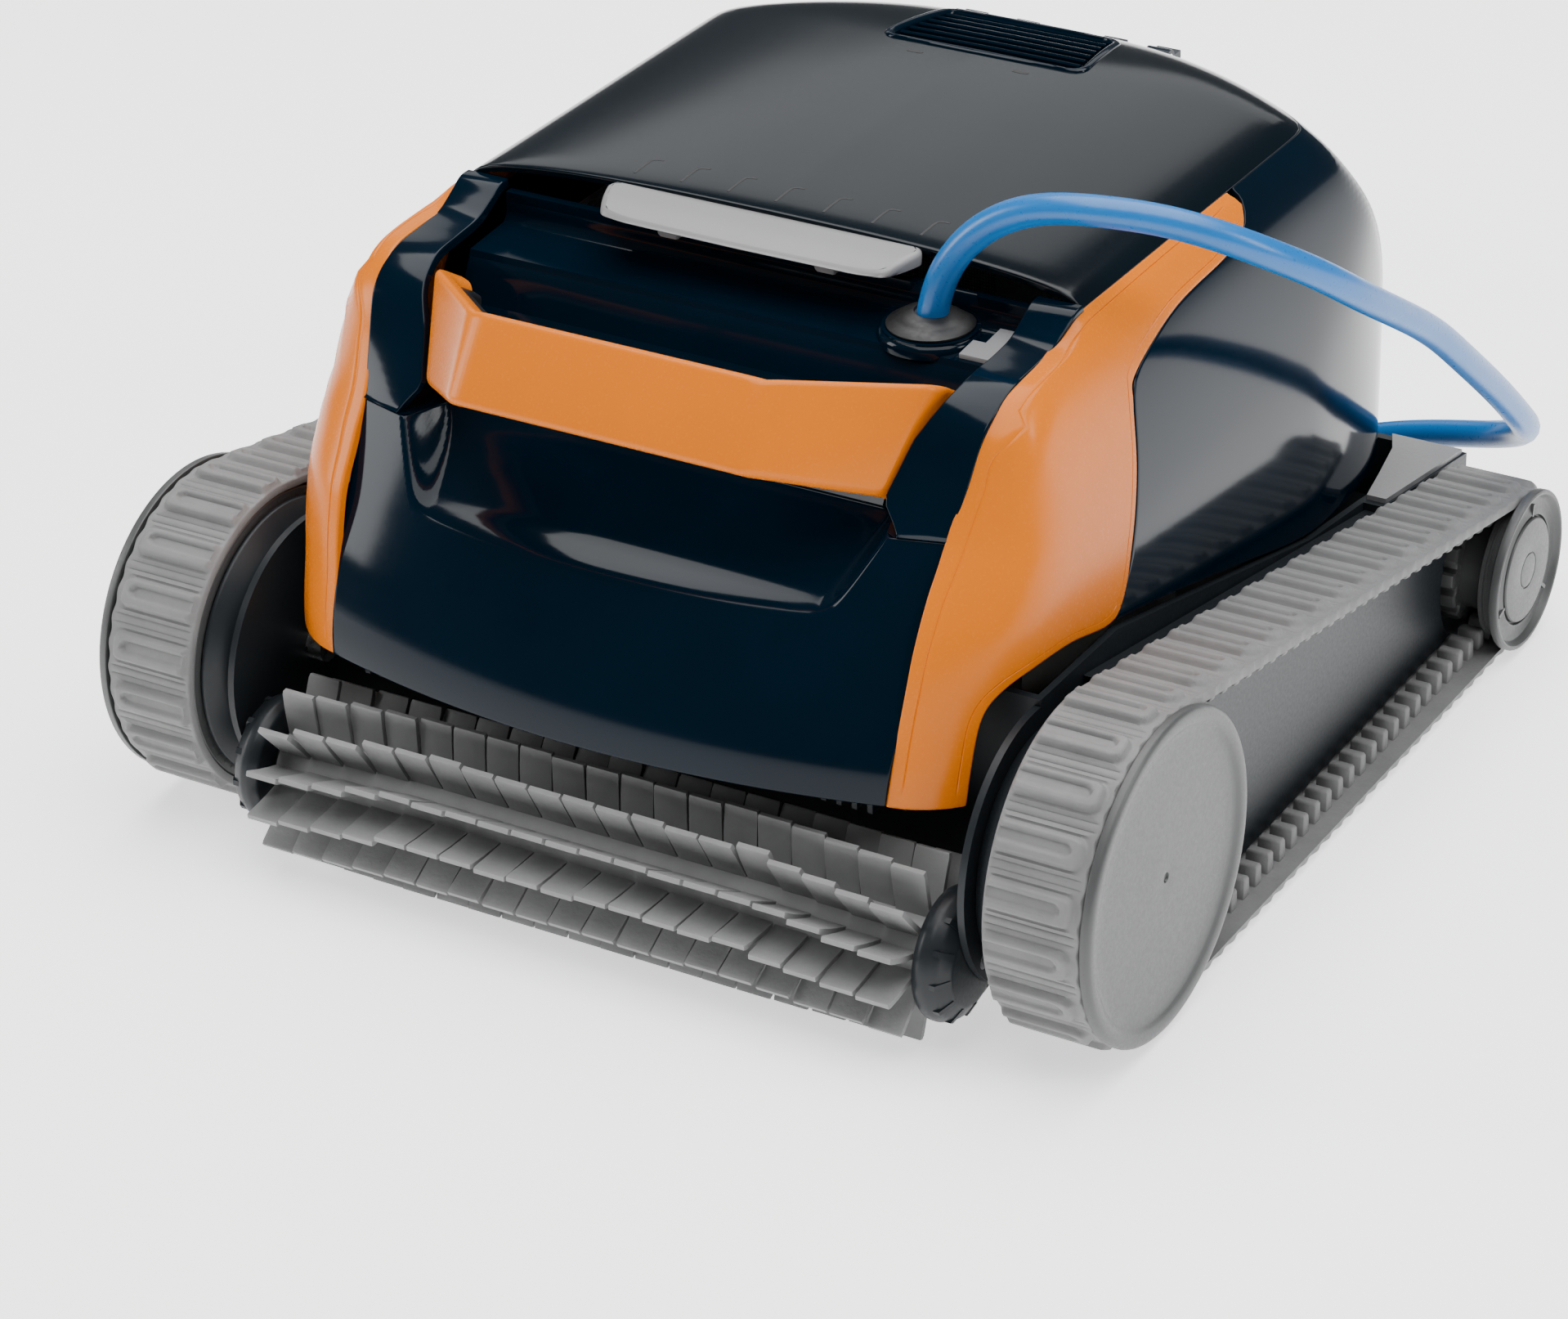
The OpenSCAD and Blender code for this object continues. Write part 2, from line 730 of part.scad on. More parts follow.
// Smooth route through hand placed points.
route = [
  [72.5, -73, 208.5], [72.6, -73, 214], [74.1, -72.7, 221.4], [78.8, -71.9, 233],
  [86.3, -70.6, 243], [96, -68.8, 250.6], [107.5, -67.5, 256], [121, -67.5, 259],
  [134, -65, 259], [145, -59, 257.5], [157, -53, 254.5], [170, -45, 248.8], [181, -33, 240],
  [189.6, -16, 228.5], [195, 7, 212], [197, 62, 177], [197, 93, 153], [195, 134, 121],
  [192, 166, 95], [186, 188, 79], [169, 204, 66], [144, 213, 57], [117, 218, 48],
  [90, 224, 35], [62, 228.5, 22], [33, 232, 12.5], [5, 233.5, 8.4], [-22, 232, 7.5]
];
function curve(a, b, c, d, t) = 0.5 * (2 * b + (c - a) * t
  + (2 * a - 5 * b + 4 * c - d) * t * t + (3 * b - a - 3 * c + d) * t * t * t);
last = len(route) - 1;
steps = 2;
path = [
  for (i = [0:last - 1], k = [0:steps - 1])
    curve(route[max(i - 1, 0)], route[i], route[i + 1], route[min(i + 2, last)], k / steps),
  route[last]
];
function unit(v) = v / norm(v);
function heading(i) =
  i == 0 ? [0, 0, 1]
  : i == len(path) - 1 ? unit([coil_c[1] - path[i][1], path[i][0] - coil_c[0], 0] * -1)
  : unit(path[i + 1] - path[i - 1]);
function across(t) = unit(cross(t, [0.5, -0.85, 0.1]));

module tube(r, sides) {
  n = len(path);
  points = [
    for (i = [0:n - 1], k = [0:sides - 1])
      let (t = heading(i), u = across(t), v = cross(t, u), a = k * 360 / sides)
        path[i] + r * cos(a) * u + r * sin(a) * v
  ];
  walls = [
    for (i = [0:n - 2], k = [0:sides - 1], half = [0, 1])
      let (m = (k + 1) % sides, a = i * sides, b = a + sides)
        half == 0 ? [a + k, b + m, a + m] : [a + k, b + k, b + m]
  ];
  first_cap = [for (k = [0:sides - 1]) k];
  last_cap = [for (k = [sides - 1:-1:0]) (n - 1) * sides + k];
  polyhedron(points = points, faces = concat([last_cap], [first_cap], walls));
}

module cable_run() {
  color([0.0, 0.55, 0.9]) tube(cable_r, 10);
}

module cable_coil() {
  top = coil_base + coil_h;
  color([0.0, 0.55, 0.9]) translate([coil_c[0], coil_c[1], 0]) rotate_extrude($fn = 96) polygon([
    [coil_in, coil_base + 7], [coil_in + 3, coil_base + 2], [coil_in + 8, coil_base],
    [coil_r - 8, coil_base], [coil_r - 3, coil_base + 2], [coil_r, coil_base + 7],
    [coil_r, top - 7], [coil_r - 3, top - 2], [coil_r - 8, top], [coil_in + 8, top],
    [coil_in + 3, top - 2], [coil_in, top - 7]
  ]);
}

module coil_tie() {
  color([0.05, 0.05, 0.06]) translate([coil_c[0], coil_c[1], 0]) rotate([0, 0, 200]) difference() {
    translate([coil_in - 2, -6, 0]) cube([coil_r - coil_in + 4, 12, coil_h + 4]);
    translate([coil_in, -7, coil_base]) cube([coil_r - coil_in, 14, coil_h]);
    rotate_extrude($fn = 96) polygon([
      [coil_in, coil_base], [coil_r, coil_base], [coil_r, coil_base + coil_h],
      [coil_in, coil_base + coil_h]
    ]);
  }
}

module connector() {
  grip = 13;
  color([0.06, 0.06, 0.07])
    translate([coil_c[0] + 50, coil_c[1] + coil_in + cable_r, coil_base + coil_h + grip])
      rotate([0, 90, 0]) {
        cylinder(r1 = 6.5, r2 = 9, h = 18, $fn = 48);
        translate([0, 0, 18]) cylinder(r = grip, h = 42, $fn = 48);
        translate([0, 0, 60]) cylinder(r = 9, h = 12, $fn = 48);
      }
}

chassis();
front_cover();
front_pillar_right();
front_pillar_left();
deck();
handle();
handle_liner();
side_panel_right();
side_panel_left();
side_shell_right();
side_shell_left();
rear_panel();
rear_plates();
brush_shroud();
wheel_housing_right();
wheel_housing_left();
front_axles();
rear_axles();
track_right();
track_left();
front_wheel_right();
front_wheel_left();
front_wheel_cover_right();
front_wheel_cover_left();
rear_wheel_right();
rear_wheel_left();
rear_wheel_cover_right();
rear_wheel_cover_left();
brush_core();
brush_flaps();
brush_caps();
brush_pins();
lid();
outlet_grille();
hinge_pins();
latch();
latch_pin();
cable_gland();
gland_plate();
pump_motor();
impeller();
outlet_duct();
filter_basket();
filter_mesh();
intake_flap_front();
intake_flap_rear();
pan_screws();
cable_run();
cable_coil();
coil_tie();
connector();
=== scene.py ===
"""Looks of the pool cleaner: smooth shells, rubber tracks, brush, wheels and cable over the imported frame."""
import math

import bmesh
import bpy
import numpy as np
from mathutils import Matrix, Vector

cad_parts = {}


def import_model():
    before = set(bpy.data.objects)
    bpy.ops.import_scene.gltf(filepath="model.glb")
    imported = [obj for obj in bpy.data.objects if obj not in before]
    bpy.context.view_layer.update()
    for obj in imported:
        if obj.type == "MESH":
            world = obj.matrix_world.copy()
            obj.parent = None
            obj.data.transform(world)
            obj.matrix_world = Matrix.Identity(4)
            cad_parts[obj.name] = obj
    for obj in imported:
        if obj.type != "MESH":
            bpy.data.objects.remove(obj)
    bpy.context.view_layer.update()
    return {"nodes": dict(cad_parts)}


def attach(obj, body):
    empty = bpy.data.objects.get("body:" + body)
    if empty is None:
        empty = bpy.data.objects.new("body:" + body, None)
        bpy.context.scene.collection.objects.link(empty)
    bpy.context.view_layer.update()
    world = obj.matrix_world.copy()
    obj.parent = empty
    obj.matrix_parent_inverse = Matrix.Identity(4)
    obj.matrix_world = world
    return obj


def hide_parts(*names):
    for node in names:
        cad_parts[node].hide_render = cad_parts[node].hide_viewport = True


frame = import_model()
NODES = frame["nodes"]

MM = 0.001
FY = -141.5
RY = 163.5
BRUSH = (FY - 36.0, 34.0)
COIL = (-110.0, 348.0)
LID_Z = 219.4
LINE_DEPTH = 0.32
SHELL, COVER_WALL, LID_WALL = 3.0, 2.6, 2.6
HANDLE_TURN = -32.7
HAND = {1: "right", -1: "left"}


def place(name, data):
    """New object of that data, linked to the scene."""
    thing = bpy.data.objects.new(name, data)
    bpy.context.scene.collection.objects.link(thing)
    return thing


# ---------------------------------------------------------------- camera and lamps
def make_camera():
    yaw, el, roll = (math.radians(a) for a in (31.179, 29.085, -1.519))
    fwd = Vector((-math.sin(yaw) * math.cos(el), math.cos(yaw) * math.cos(el), -math.sin(el)))
    right = Vector((math.cos(yaw), math.sin(yaw), 0))
    up = right.cross(fwd)
    across = math.cos(roll) * right + math.sin(roll) * up
    above = math.cos(roll) * up - math.sin(roll) * right
    data = bpy.data.cameras.new("camera")
    data.sensor_width = 36
    data.lens = 36 * 6135.37 / 1918
    data.clip_start, data.clip_end = 0.05, 50
    cam = place("camera", data)
    cam.matrix_world = Matrix((
        (across.x, above.x, -fwd.x, 0.82559),
        (across.y, above.y, -fwd.y, -1.41961),
        (across.z, above.z, -fwd.z, 0.93705),
        (0, 0, 0, 1),
    ))
    bpy.context.scene.camera = cam


def area_light(name, spot, target, size, power):
    data = bpy.data.lights.new(name, "AREA")
    data.shape = "RECTANGLE"
    data.size, data.size_y = size
    data.energy = power
    lamp = place(name, data)
    lamp.location = spot
    lamp.rotation_mode = "QUATERNION"
    lamp.rotation_quaternion = (Vector(spot) - Vector(target)).to_track_quat("Z", "Y")


make_camera()


# ---------------------------------------------------------------- materials
def node_material(name):
    m = bpy.data.materials.new(name)
    m.use_nodes = True
    tree = m.node_tree
    shader = tree.nodes["Principled BSDF"]
    return m, tree, shader


def noise(tree, scale, detail=4.0, rough=0.55):
    where = tree.nodes.new("ShaderNodeTexCoord")
    n = tree.nodes.new("ShaderNodeTexNoise")
    n.inputs["Scale"].default_value = scale
    n.inputs["Detail"].default_value = detail
    n.inputs["Roughness"].default_value = rough
    tree.links.new(where.outputs["Object"], n.inputs["Vector"])
    return n


def span(tree, source, low, high, start=0.3, end=0.7):
    r = tree.nodes.new("ShaderNodeMapRange")
    r.inputs["From Min"].default_value = start
    r.inputs["From Max"].default_value = end
    r.inputs["To Min"].default_value = low
    r.inputs["To Max"].default_value = high
    tree.links.new(source, r.inputs["Value"])
    return r.outputs["Result"]


def two_tone(tree, shader, factor, low, high):
    ramp = tree.nodes.new("ShaderNodeMix")
    ramp.data_type = "RGBA"
    ramp.inputs["A"].default_value = (*low, 1)
    ramp.inputs["B"].default_value = (*high, 1)
    tree.links.new(factor, ramp.inputs["Factor"])
    tree.links.new(ramp.outputs["Result"], shader.inputs["Base Color"])


def bump(tree, shader, height, strength, distance):
    lift = tree.nodes.new("ShaderNodeBump")
    lift.inputs["Strength"].default_value = strength
    lift.inputs["Distance"].default_value = distance
    tree.links.new(height, lift.inputs["Height"])
    tree.links.new(lift.outputs["Normal"], shader.inputs["Normal"])


def moulded(name, colour, rough, grain, relief, coat=0.0, spread=0.06, coarse=14.0, specular=0.5):
    """Moulded plastic or rubber: slow colour drift, roughness drift and a fine surface grain."""
    m, tree, shader = node_material(name)
    drift = noise(tree, coarse, 3.0)
    fine = noise(tree, grain, 6.0, 0.62)
    two_tone(tree, shader, span(tree, drift.outputs["Fac"], 0.0, 1.0),
             [c * (1 - spread) for c in colour], [min(1.0, c * (1 + spread)) for c in colour])
    tree.links.new(span(tree, fine.outputs["Fac"], rough * 0.85, min(1.0, rough * 1.2)),
                   shader.inputs["Roughness"])
    bump(tree, shader, fine.outputs["Fac"], relief, 0.0004)
    shader.inputs["Coat Weight"].default_value = coat
    shader.inputs["Coat Roughness"].default_value = 0.04
    shader.inputs["Specular IOR Level"].default_value = specular
    return m


def metal(name):
    m, tree, shader = node_material(name)
    streak = noise(tree, 260.0, 5.0)
    tree.links.new(span(tree, streak.outputs["Fac"], 0.2, 0.38), shader.inputs["Roughness"])
    shader.inputs["Base Color"].default_value = (0.6, 0.6, 0.62, 1)
    shader.inputs["Metallic"].default_value = 1.0
    bump(tree, shader, streak.outputs["Fac"], 0.2, 0.0002)
    return m


def woven(name):
    m, tree, shader = node_material(name)
    where = tree.nodes.new("ShaderNodeTexCoord")
    total = None
    for direction in ("X", "Z"):
        wave = tree.nodes.new("ShaderNodeTexWave")
        wave.bands_direction = direction
        wave.inputs["Scale"].default_value = 260.0
        tree.links.new(where.outputs["Object"], wave.inputs["Vector"])
        if total is None:
            total = wave.outputs["Fac"]
        else:
            add = tree.nodes.new("ShaderNodeMath")
            add.operation = "MULTIPLY"
            tree.links.new(total, add.inputs[0])
            tree.links.new(wave.outputs["Fac"], add.inputs[1])
            total = add.outputs["Value"]
    two_tone(tree, shader, total, (0.48, 0.49, 0.5), (0.82, 0.83, 0.84))
    shader.inputs["Roughness"].default_value = 0.7
    bump(tree, shader, total, 0.4, 0.0003)
    return m


MAT = {
    "navy": moulded("navy_gloss", (0.0002, 0.0046, 0.0105), 0.1, 900, 0.006, spread=0.15, specular=0.15),
    "lid": moulded("lid_gloss", (0.0008, 0.0036, 0.0065), 0.14, 900, 0.006, spread=0.1, specular=0.2),
    "orange": moulded("orange_gloss", (0.57, 0.134, 0.0), 0.25, 900, 0.008, spread=0.03, specular=0.18),
    "slate": moulded("slate_satin", (0.0095, 0.012, 0.0145), 0.38, 700, 0.04, spread=0.1, specular=0.25),
    "rubber": moulded("track_rubber", (0.15, 0.151, 0.151), 0.62, 420, 0.5, spread=0.09, coarse=60),
    "flap": moulded("flap_rubber", (0.19, 0.192, 0.192), 0.6, 420, 0.4, spread=0.08, coarse=60),
    "wheel": moulded("wheel_satin", (0.047, 0.0485, 0.049), 0.42, 800, 0.05, spread=0.03),
    "pale": moulded("pale_satin", (0.19, 0.19, 0.193), 0.38, 800, 0.04, spread=0.03),
    "black": moulded("black_satin", (0.006, 0.0065, 0.0075), 0.35, 700, 0.06, spread=0.12),
    "black_rubber": moulded("black_rubber", (0.005, 0.005, 0.0055), 0.5, 600, 0.15, spread=0.12),
    "white": moulded("white_satin", (0.7, 0.71, 0.72), 0.4, 800, 0.04, spread=0.03),
    "cable": moulded("cable_sheath", (0.0, 0.115, 0.36), 0.3, 500, 0.05, spread=0.05, coarse=40),
    "steel": metal("steel_brushed"),
    "mesh": woven("filter_weave"),
}


# ---------------------------------------------------------------- mesh helpers (millimetres in, metres out)
def build(name, verts, faces, material, body, stands_for=(), angle=40):
    mesh = bpy.data.meshes.new(name)
    mesh.from_pydata([tuple(MM * float(c) for c in v) for v in verts], [],
                     [tuple(int(i) for i in f) for f in faces])
    mesh.validate()
    tidy = bmesh.new()
    tidy.from_mesh(mesh)
    bmesh.ops.remove_doubles(tidy, verts=tidy.verts, dist=1e-6)
    bmesh.ops.recalc_face_normals(tidy, faces=tidy.faces)
    tidy.to_mesh(mesh)
    tidy.free()
    mesh.polygons.foreach_set("use_smooth", [True] * len(mesh.polygons))
    mesh.set_sharp_from_angle(angle=math.radians(angle))
    mesh.materials.append(MAT[material])
    piece = place(name, mesh)
    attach(piece, body)
    if stands_for:
        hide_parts(*stands_for)
    return piece


def mirrored(verts):
    return [(-v[0], v[1], v[2]) for v in verts]


class Solid:
    """Collects vertices and faces of one piece."""

    def __init__(self):
        self.verts, self.faces = [], []

    def add(self, verts, faces):
        base = len(self.verts)
        self.verts.extend(verts)
        self.faces.extend([tuple(i + base for i in f) for f in faces])

    def grid(self, rows, close_rows=False, close_cols=False):
        """Quads between equal rows of points."""
        n, m = len(rows), len(rows[0])
        faces = []
        for i in range(n if close_rows else n - 1):
            for j in range(m if close_cols else m - 1):
                a, b = i * m + j, i * m + (j + 1) % m
                c, d = ((i + 1) % n) * m + (j + 1) % m, ((i + 1) % n) * m + j
                faces.append((a, b, c, d))
        self.add([p for r in rows for p in r], faces)

    def fan(self, ring):
        self.add(list(ring), [tuple(range(len(ring)))])

    def capped(self, rows):
        """Tube through closed rings, shut at both ends."""
        self.grid(rows, close_cols=True)
        self.fan(rows[0])
        self.fan(rows[-1])

    def lathe(self, profile, y, z, steps, side=1):
        """Closed profile turned about the cross axis."""
        self.grid(turned(profile, y, z, steps, side), close_rows=True, close_cols=True)


def turned(profile, y, z, steps, side):
    """Rings of (radius, x) turned about the cross axis at y, z."""
    rows = []
    for r, x in profile:
        rows.append([(side * x, y + r * math.cos(a), z + r * math.sin(a))
                     for a in (2 * math.pi * k / steps for k in range(steps))])
    return rows


def rounded(points, radius, steps=4):
    """Open polyline with each inner corner rounded."""
    out = [points[0]]
    for i in range(1, len(points) - 1):
        a, b, c = (np.array(points[k], float) for k in (i - 1, i, i + 1))
        u, v = a - b, c - b
        lu, lv = np.linalg.norm(u), np.linalg.norm(v)
        r = min(radius, 0.45 * lu, 0.45 * lv)
        p, q = b + u / lu * r, b + v / lv * r
        for t in np.linspace(0, 1, steps + 1):
            out.append(tuple((1 - t) ** 2 * p + 2 * t * (1 - t) * b + t * t * q))
    out.append(points[-1])
    return out


# ---------------------------------------------------------------- outer surface of the body
def smooth_table(pairs):
    """Monotone cubic through (key, value) pairs."""
    k = np.array([p[0] for p in pairs], float)
    v = np.array([p[1] for p in pairs], float)
    h = np.diff(k)
    slope = np.diff(v) / h
    m = np.zeros_like(v)
    for i in range(1, len(v) - 1):
        if slope[i - 1] * slope[i] > 0:
            w1, w2 = 2 * h[i] + h[i - 1], h[i] + 2 * h[i - 1]
            m[i] = (w1 + w2) / (w1 / slope[i - 1] + w2 / slope[i])
    m[0], m[-1] = slope[0], slope[-1]

    def value(x):
        x = np.clip(x, k[0], k[-1])
        i = np.clip(np.searchsorted(k, x) - 1, 0, len(h) - 1)
        t = (x - k[i]) / h[i]
        return ((1 + 2 * t) * (1 - t) ** 2 * v[i] + t * (1 - t) ** 2 * h[i] * m[i]
                + t * t * (3 - 2 * t) * v[i + 1] - t * t * (1 - t) * h[i] * m[i + 1])
    return value


FLANK = smooth_table([(50, 149.5), (100, 149.5), (125, 149.2), (142, 148), (162, 145.2), (186, 140.3),
                      (204, 134.6), (216, 128), (222, 123.5), (226, 119)])
NOSE = smooth_table([(60, -36.5), (83, -36), (110, -30), (137, -22), (155, -11), (170, 0), (184, 7.5),
                     (198, 14), (204, 20), (208, 26), (211, 35), (213.2, 61), (215.5, 68), (220, 75),
                     (226, 79)])
SEAM_X = smooth_table([(60, 111), (83, 112.4), (125, 115.2), (167, 118), (195, 121.4), (219, 124.4),
                       (226, 125)])
CORNER = smooth_table([(-30, -30), (0, 0), (4, 8.5), (10, 17), (20, 25.5), (36, 32), (60, 36.5), (110, 40)])
PLAN = smooth_table([(-36, 150), (60, 150), (180, 150),
                     (215, 149.4), (248, 146), (288, 139), (320, 128.5), (339, 113), (349, 88), (353, 40)])
CROWN = smooth_table([(0, 233.7), (30, 233), (60, 231.2), (90, 228.4), (112, 225.2), (118, 223.4),
                      (125, 219)])
SPINE = smooth_table([(76, 230), (82, 230.8), (120, 232.6), (160, 233.7), (200, 234.1), (240, 233),
                      (270, 229.6), (290, 225), (305, 217), (318, 205), (331, 188), (342, 166), (349, 140),
                      (352, 115), (353, 60)])
REVOLVE = smooth_table([(50, 251), (95, 253), (115, 251.5), (140, 245), (160, 236), (180, 224), (198, 211),
                        (211, 200), (220, 190), (228, 176), (232, 160)])
TAIL = smooth_table([(60, 337), (76, 345), (92, 350.6), (115, 351), (140, 349), (166, 342), (188, 331),
                     (205, 318), (217, 305), (225, 290), (229.7, 270), (232.7, 240)])


def outside(x, y, z, k=2.2):
    """Positive outside the body, in about millimetres, with edges softened by k; y is from the front axle."""
    ax = np.abs(x)
    parts = [
        ax - FLANK(z),
        ax - PLAN(y),
        z - CROWN(ax),
        z - SPINE(y),
        NOSE(z) - y,
        (ax - SEAM_X(z) - CORNER(y - NOSE(z))) * 0.7,
        np.hypot(ax, y - 110) - REVOLVE(z),
        y - TAIL(z),
    ]
    top = np.maximum.reduce(parts)
    total = sum(np.exp(np.clip((p - top) / k, -60, 0)) for p in parts)
    return top + k * np.log(total)


def cast(origin, direction, far=320.0):
    """Points where rays from inside leave the body; arrays of shape (..., 3)."""
    o, d = np.broadcast_arrays(np.asarray(origin, float), np.asarray(direction, float))
    lo, hi = np.zeros(o.shape[:-1]), np.full(o.shape[:-1], far)
    for _ in range(34):
        mid = (lo + hi) / 2
        p = o + d * mid[..., None]
        out = outside(p[..., 0], p[..., 1], p[..., 2]) > 0
        hi = np.where(out, mid, hi)
        lo = np.where(out, lo, mid)
    return o + d * lo[..., None]


def surface_normal(p):
    e = 0.6
    g = np.stack([outside(p[..., 0] + e * a, p[..., 1] + e * b, p[..., 2] + e * c)
                  - outside(p[..., 0] - e * a, p[..., 1] - e * b, p[..., 2] - e * c)
                  for a, b, c in ((1, 0, 0), (0, 1, 0), (0, 0, 1))], axis=-1)
    return g / np.linalg.norm(g, axis=-1, keepdims=True)


def resample(points, n):
    """n + 1 points evenly spaced along a polyline."""
    p = np.array(points, float)
    d = np.r_[0, np.cumsum(np.linalg.norm(np.diff(p, axis=0), axis=1))]
    s = np.linspace(0, d[-1], n + 1)
    return np.stack([np.interp(s, d, p[:, k]) for k in range(p.shape[1])], axis=1)


def coons(bottom, top, left, right, us, vs):
    """Transfinite patch of four polylines: bottom and top run with u, left and right with v."""
    def at(curve, t):
        d = np.r_[0, np.cumsum(np.linalg.norm(np.diff(curve, axis=0), axis=1))]
        d = d / d[-1]
        return np.stack([np.interp(t, d, curve[:, k]) for k in range(curve.shape[1])], axis=-1)
    B, T = at(bottom, us)[None, :, :], at(top, us)[None, :, :]
    L, R = at(left, vs)[:, None, :], at(right, vs)[:, None, :]
    u, v = us[None, :, None], vs[:, None, None]
    corners = ((1 - u) * (1 - v) * bottom[0] + u * (1 - v) * bottom[-1] + (1 - u) * v * top[0]
               + u * v * top[-1])
    return (1 - v) * B + v * T + (1 - u) * L + u * R - corners


def spread(length, step, lines=()):
    """Parameters from 0 to 1: dense near both ends and round each line (a distance in mm from either end)."""
    s = {0.0, 0.5, 1.2}
    for d in lines:
        s.update({d - 0.75, d - 0.35, d, d + 0.35, d + 0.75})
    near = sorted(s)
    inner = np.linspace(near[-1] + 1.2, length - near[-1] - 1.2, max(3, int((length - 2 * near[-1]) / step)))
    full = near + list(inner) + [length - d for d in reversed(near)]
    return np.array(full) / length


def shell_piece(P, N, thick, edge=0.6, groove=None):
    """Solid from a grid of surface points and normals: rolled edges, side walls and an inner face."""
    P = P.copy()
    if groove is not None:
        P = P - N * groove[..., None]
    s = Solid()
    rows, cols = P.shape[:2]
    loop = [(0, j) for j in range(cols)] + [(i, cols - 1) for i in range(1, rows)]
    loop += [(rows - 1, j) for j in range(cols - 2, -1, -1)] + [(i, 0) for i in range(rows - 2, 0, -1)]
    centre = P.reshape(-1, 3).mean(0)
    B = np.array([P[i, j] for i, j in loop])
    BN = np.array([N[i, j] for i, j in loop])
    ahead = np.roll(B, -1, axis=0) - B
    ahead /= np.linalg.norm(ahead, axis=1, keepdims=True) + 1e-9
    out = np.cross(ahead, BN)
    out = out + np.roll(out, 1, axis=0)
    out /= np.linalg.norm(out, axis=1, keepdims=True) + 1e-9
    if np.mean(np.einsum("ij,ij->i", out, B - centre)) < 0:
        out = -out
    base = P.reshape(-1, 3)
    index = [i * cols + j for i, j in loop]
    cells = [(i * cols + j, i * cols + j + 1, (i + 1) * cols + j + 1, (i + 1) * cols + j)
             for i in range(rows - 1) for j in range(cols - 1)]
    faces = list(cells)
    verts = [tuple(p) for p in base]
    n = len(index)

    def strip(last, here):
        faces.extend((last[k], last[(k + 1) % n], here[(k + 1) % n], here[k]) for k in range(n))
        return here

    def wall(last, ring):
        verts.extend(tuple(p) for p in ring)
        return strip(last, list(range(len(verts) - n, len(verts))))
    last = index
    for a in (30, 60, 90):
        a = math.radians(a)
        last = wall(last, B + out * edge * math.sin(a) - BN * edge * (1 - math.cos(a)))
    last = wall(last, B + out * edge - BN * thick)
    offset = len(verts)
    verts += [tuple(p) for p in base - N.reshape(-1, 3) * thick]
    strip(last, [offset + k for k in index])
    faces += [tuple(offset + k for k in (a, d, c, b)) for a, b, c, d in cells]
    s.verts, s.faces = verts, faces
    return s


def to_final(verts):
    """From front-axle y to the frame's y."""
    return [(v[0], v[1] + FY, v[2]) for v in verts]


# ---------------------------------------------------------------- cable: along the route, then wound
ROUTE = [
    (72.5, -73, 208.5), (72.6, -73, 214), (74.1, -72.7, 221.4), (78.8, -71.9, 233),
    (86.3, -70.6, 243), (96, -68.8, 250.6), (107.5, -67.5, 256), (121, -67.5, 259),
    (134, -65, 259), (145, -59, 257.5), (157, -53, 254.5), (170, -45, 248.8), (181, -33, 240),
    (189.6, -16, 228.5), (195, 7, 212), (197, 62, 177), (197, 93, 153), (195, 134, 121),
    (192, 166, 95), (186, 188, 79), (169, 204, 66), (144, 213, 57), (117, 218, 48),
    (90, 224, 35), (62, 228.5, 22), (33, 232, 12.5), (5, 233.5, 8.4), (-22, 232, 7.5),
]
CABLE = 11.0


def through(points, steps):
    """Smooth curve through given points."""
    p = np.array(points, float)
    out = []
    for i in range(len(p) - 1):
        a, b, c, d = p[max(i - 1, 0)], p[i], p[i + 1], p[min(i + 2, len(p) - 1)]
        for k in range(steps):
            t = k / steps
            out.append(0.5 * (2 * b + (c - a) * t + (2 * a - 5 * b + 4 * c - d) * t * t
                              + (3 * b - a - 3 * c + d) * t ** 3))
    out.append(p[-1])
    return np.array(out)


def wound():
    """Turns beside and on each other in three layers, from the outside in, out, and in again."""
    lanes = [135.3 - 11.1 * k for k in range(8)]
    out = []
    angle = math.radians(-70)
    z = 7.5
    for layer in range(3):
        order = lanes if layer % 2 == 0 else lanes[::-1]
        for n, r in enumerate(order):
            last = layer == 2 and n == 7
            after = order[n + 1] if n < 7 else r
            up = 10.2 if n == 7 and layer < 2 else 0.0
            for k in range(20 if last else 36):
                f = max(0.0, (k / 36 - 0.75) / 0.25)
                f = f * f * (3 - 2 * f)
                here = r + (after - r) * f
                out.append((COIL[0] + here * math.cos(angle), COIL[1] + here * math.sin(angle), z + up * f))
                angle -= math.radians(10)
            z += up
    return out


def calm(line, step=4.0, width=11.0):
    """Evens out a line's curvature, with its two ends kept."""
    run = np.r_[0, np.cumsum(np.linalg.norm(np.diff(line, axis=0), axis=1))]
    at = np.linspace(0, run[-1], int(run[-1] / step) + 1)
    p = np.stack([np.interp(at, run, line[:, k]) for k in range(3)], axis=1)
    n = int(3 * width / step)
    kernel = np.exp(-0.5 * (np.arange(-n, n + 1) * step / width) ** 2)
    kernel /= kernel.sum()
    first = 2 * p[0] - p[n:0:-1]
    last = 2 * p[-1] - p[-2:-n - 2:-1]
    wide = np.concatenate([first, p, last])
    soft = np.stack([np.convolve(wide[:, k], kernel, "valid") for k in range(3)], axis=1)
    soft[0], soft[-1] = p[0], p[-1]
    return soft


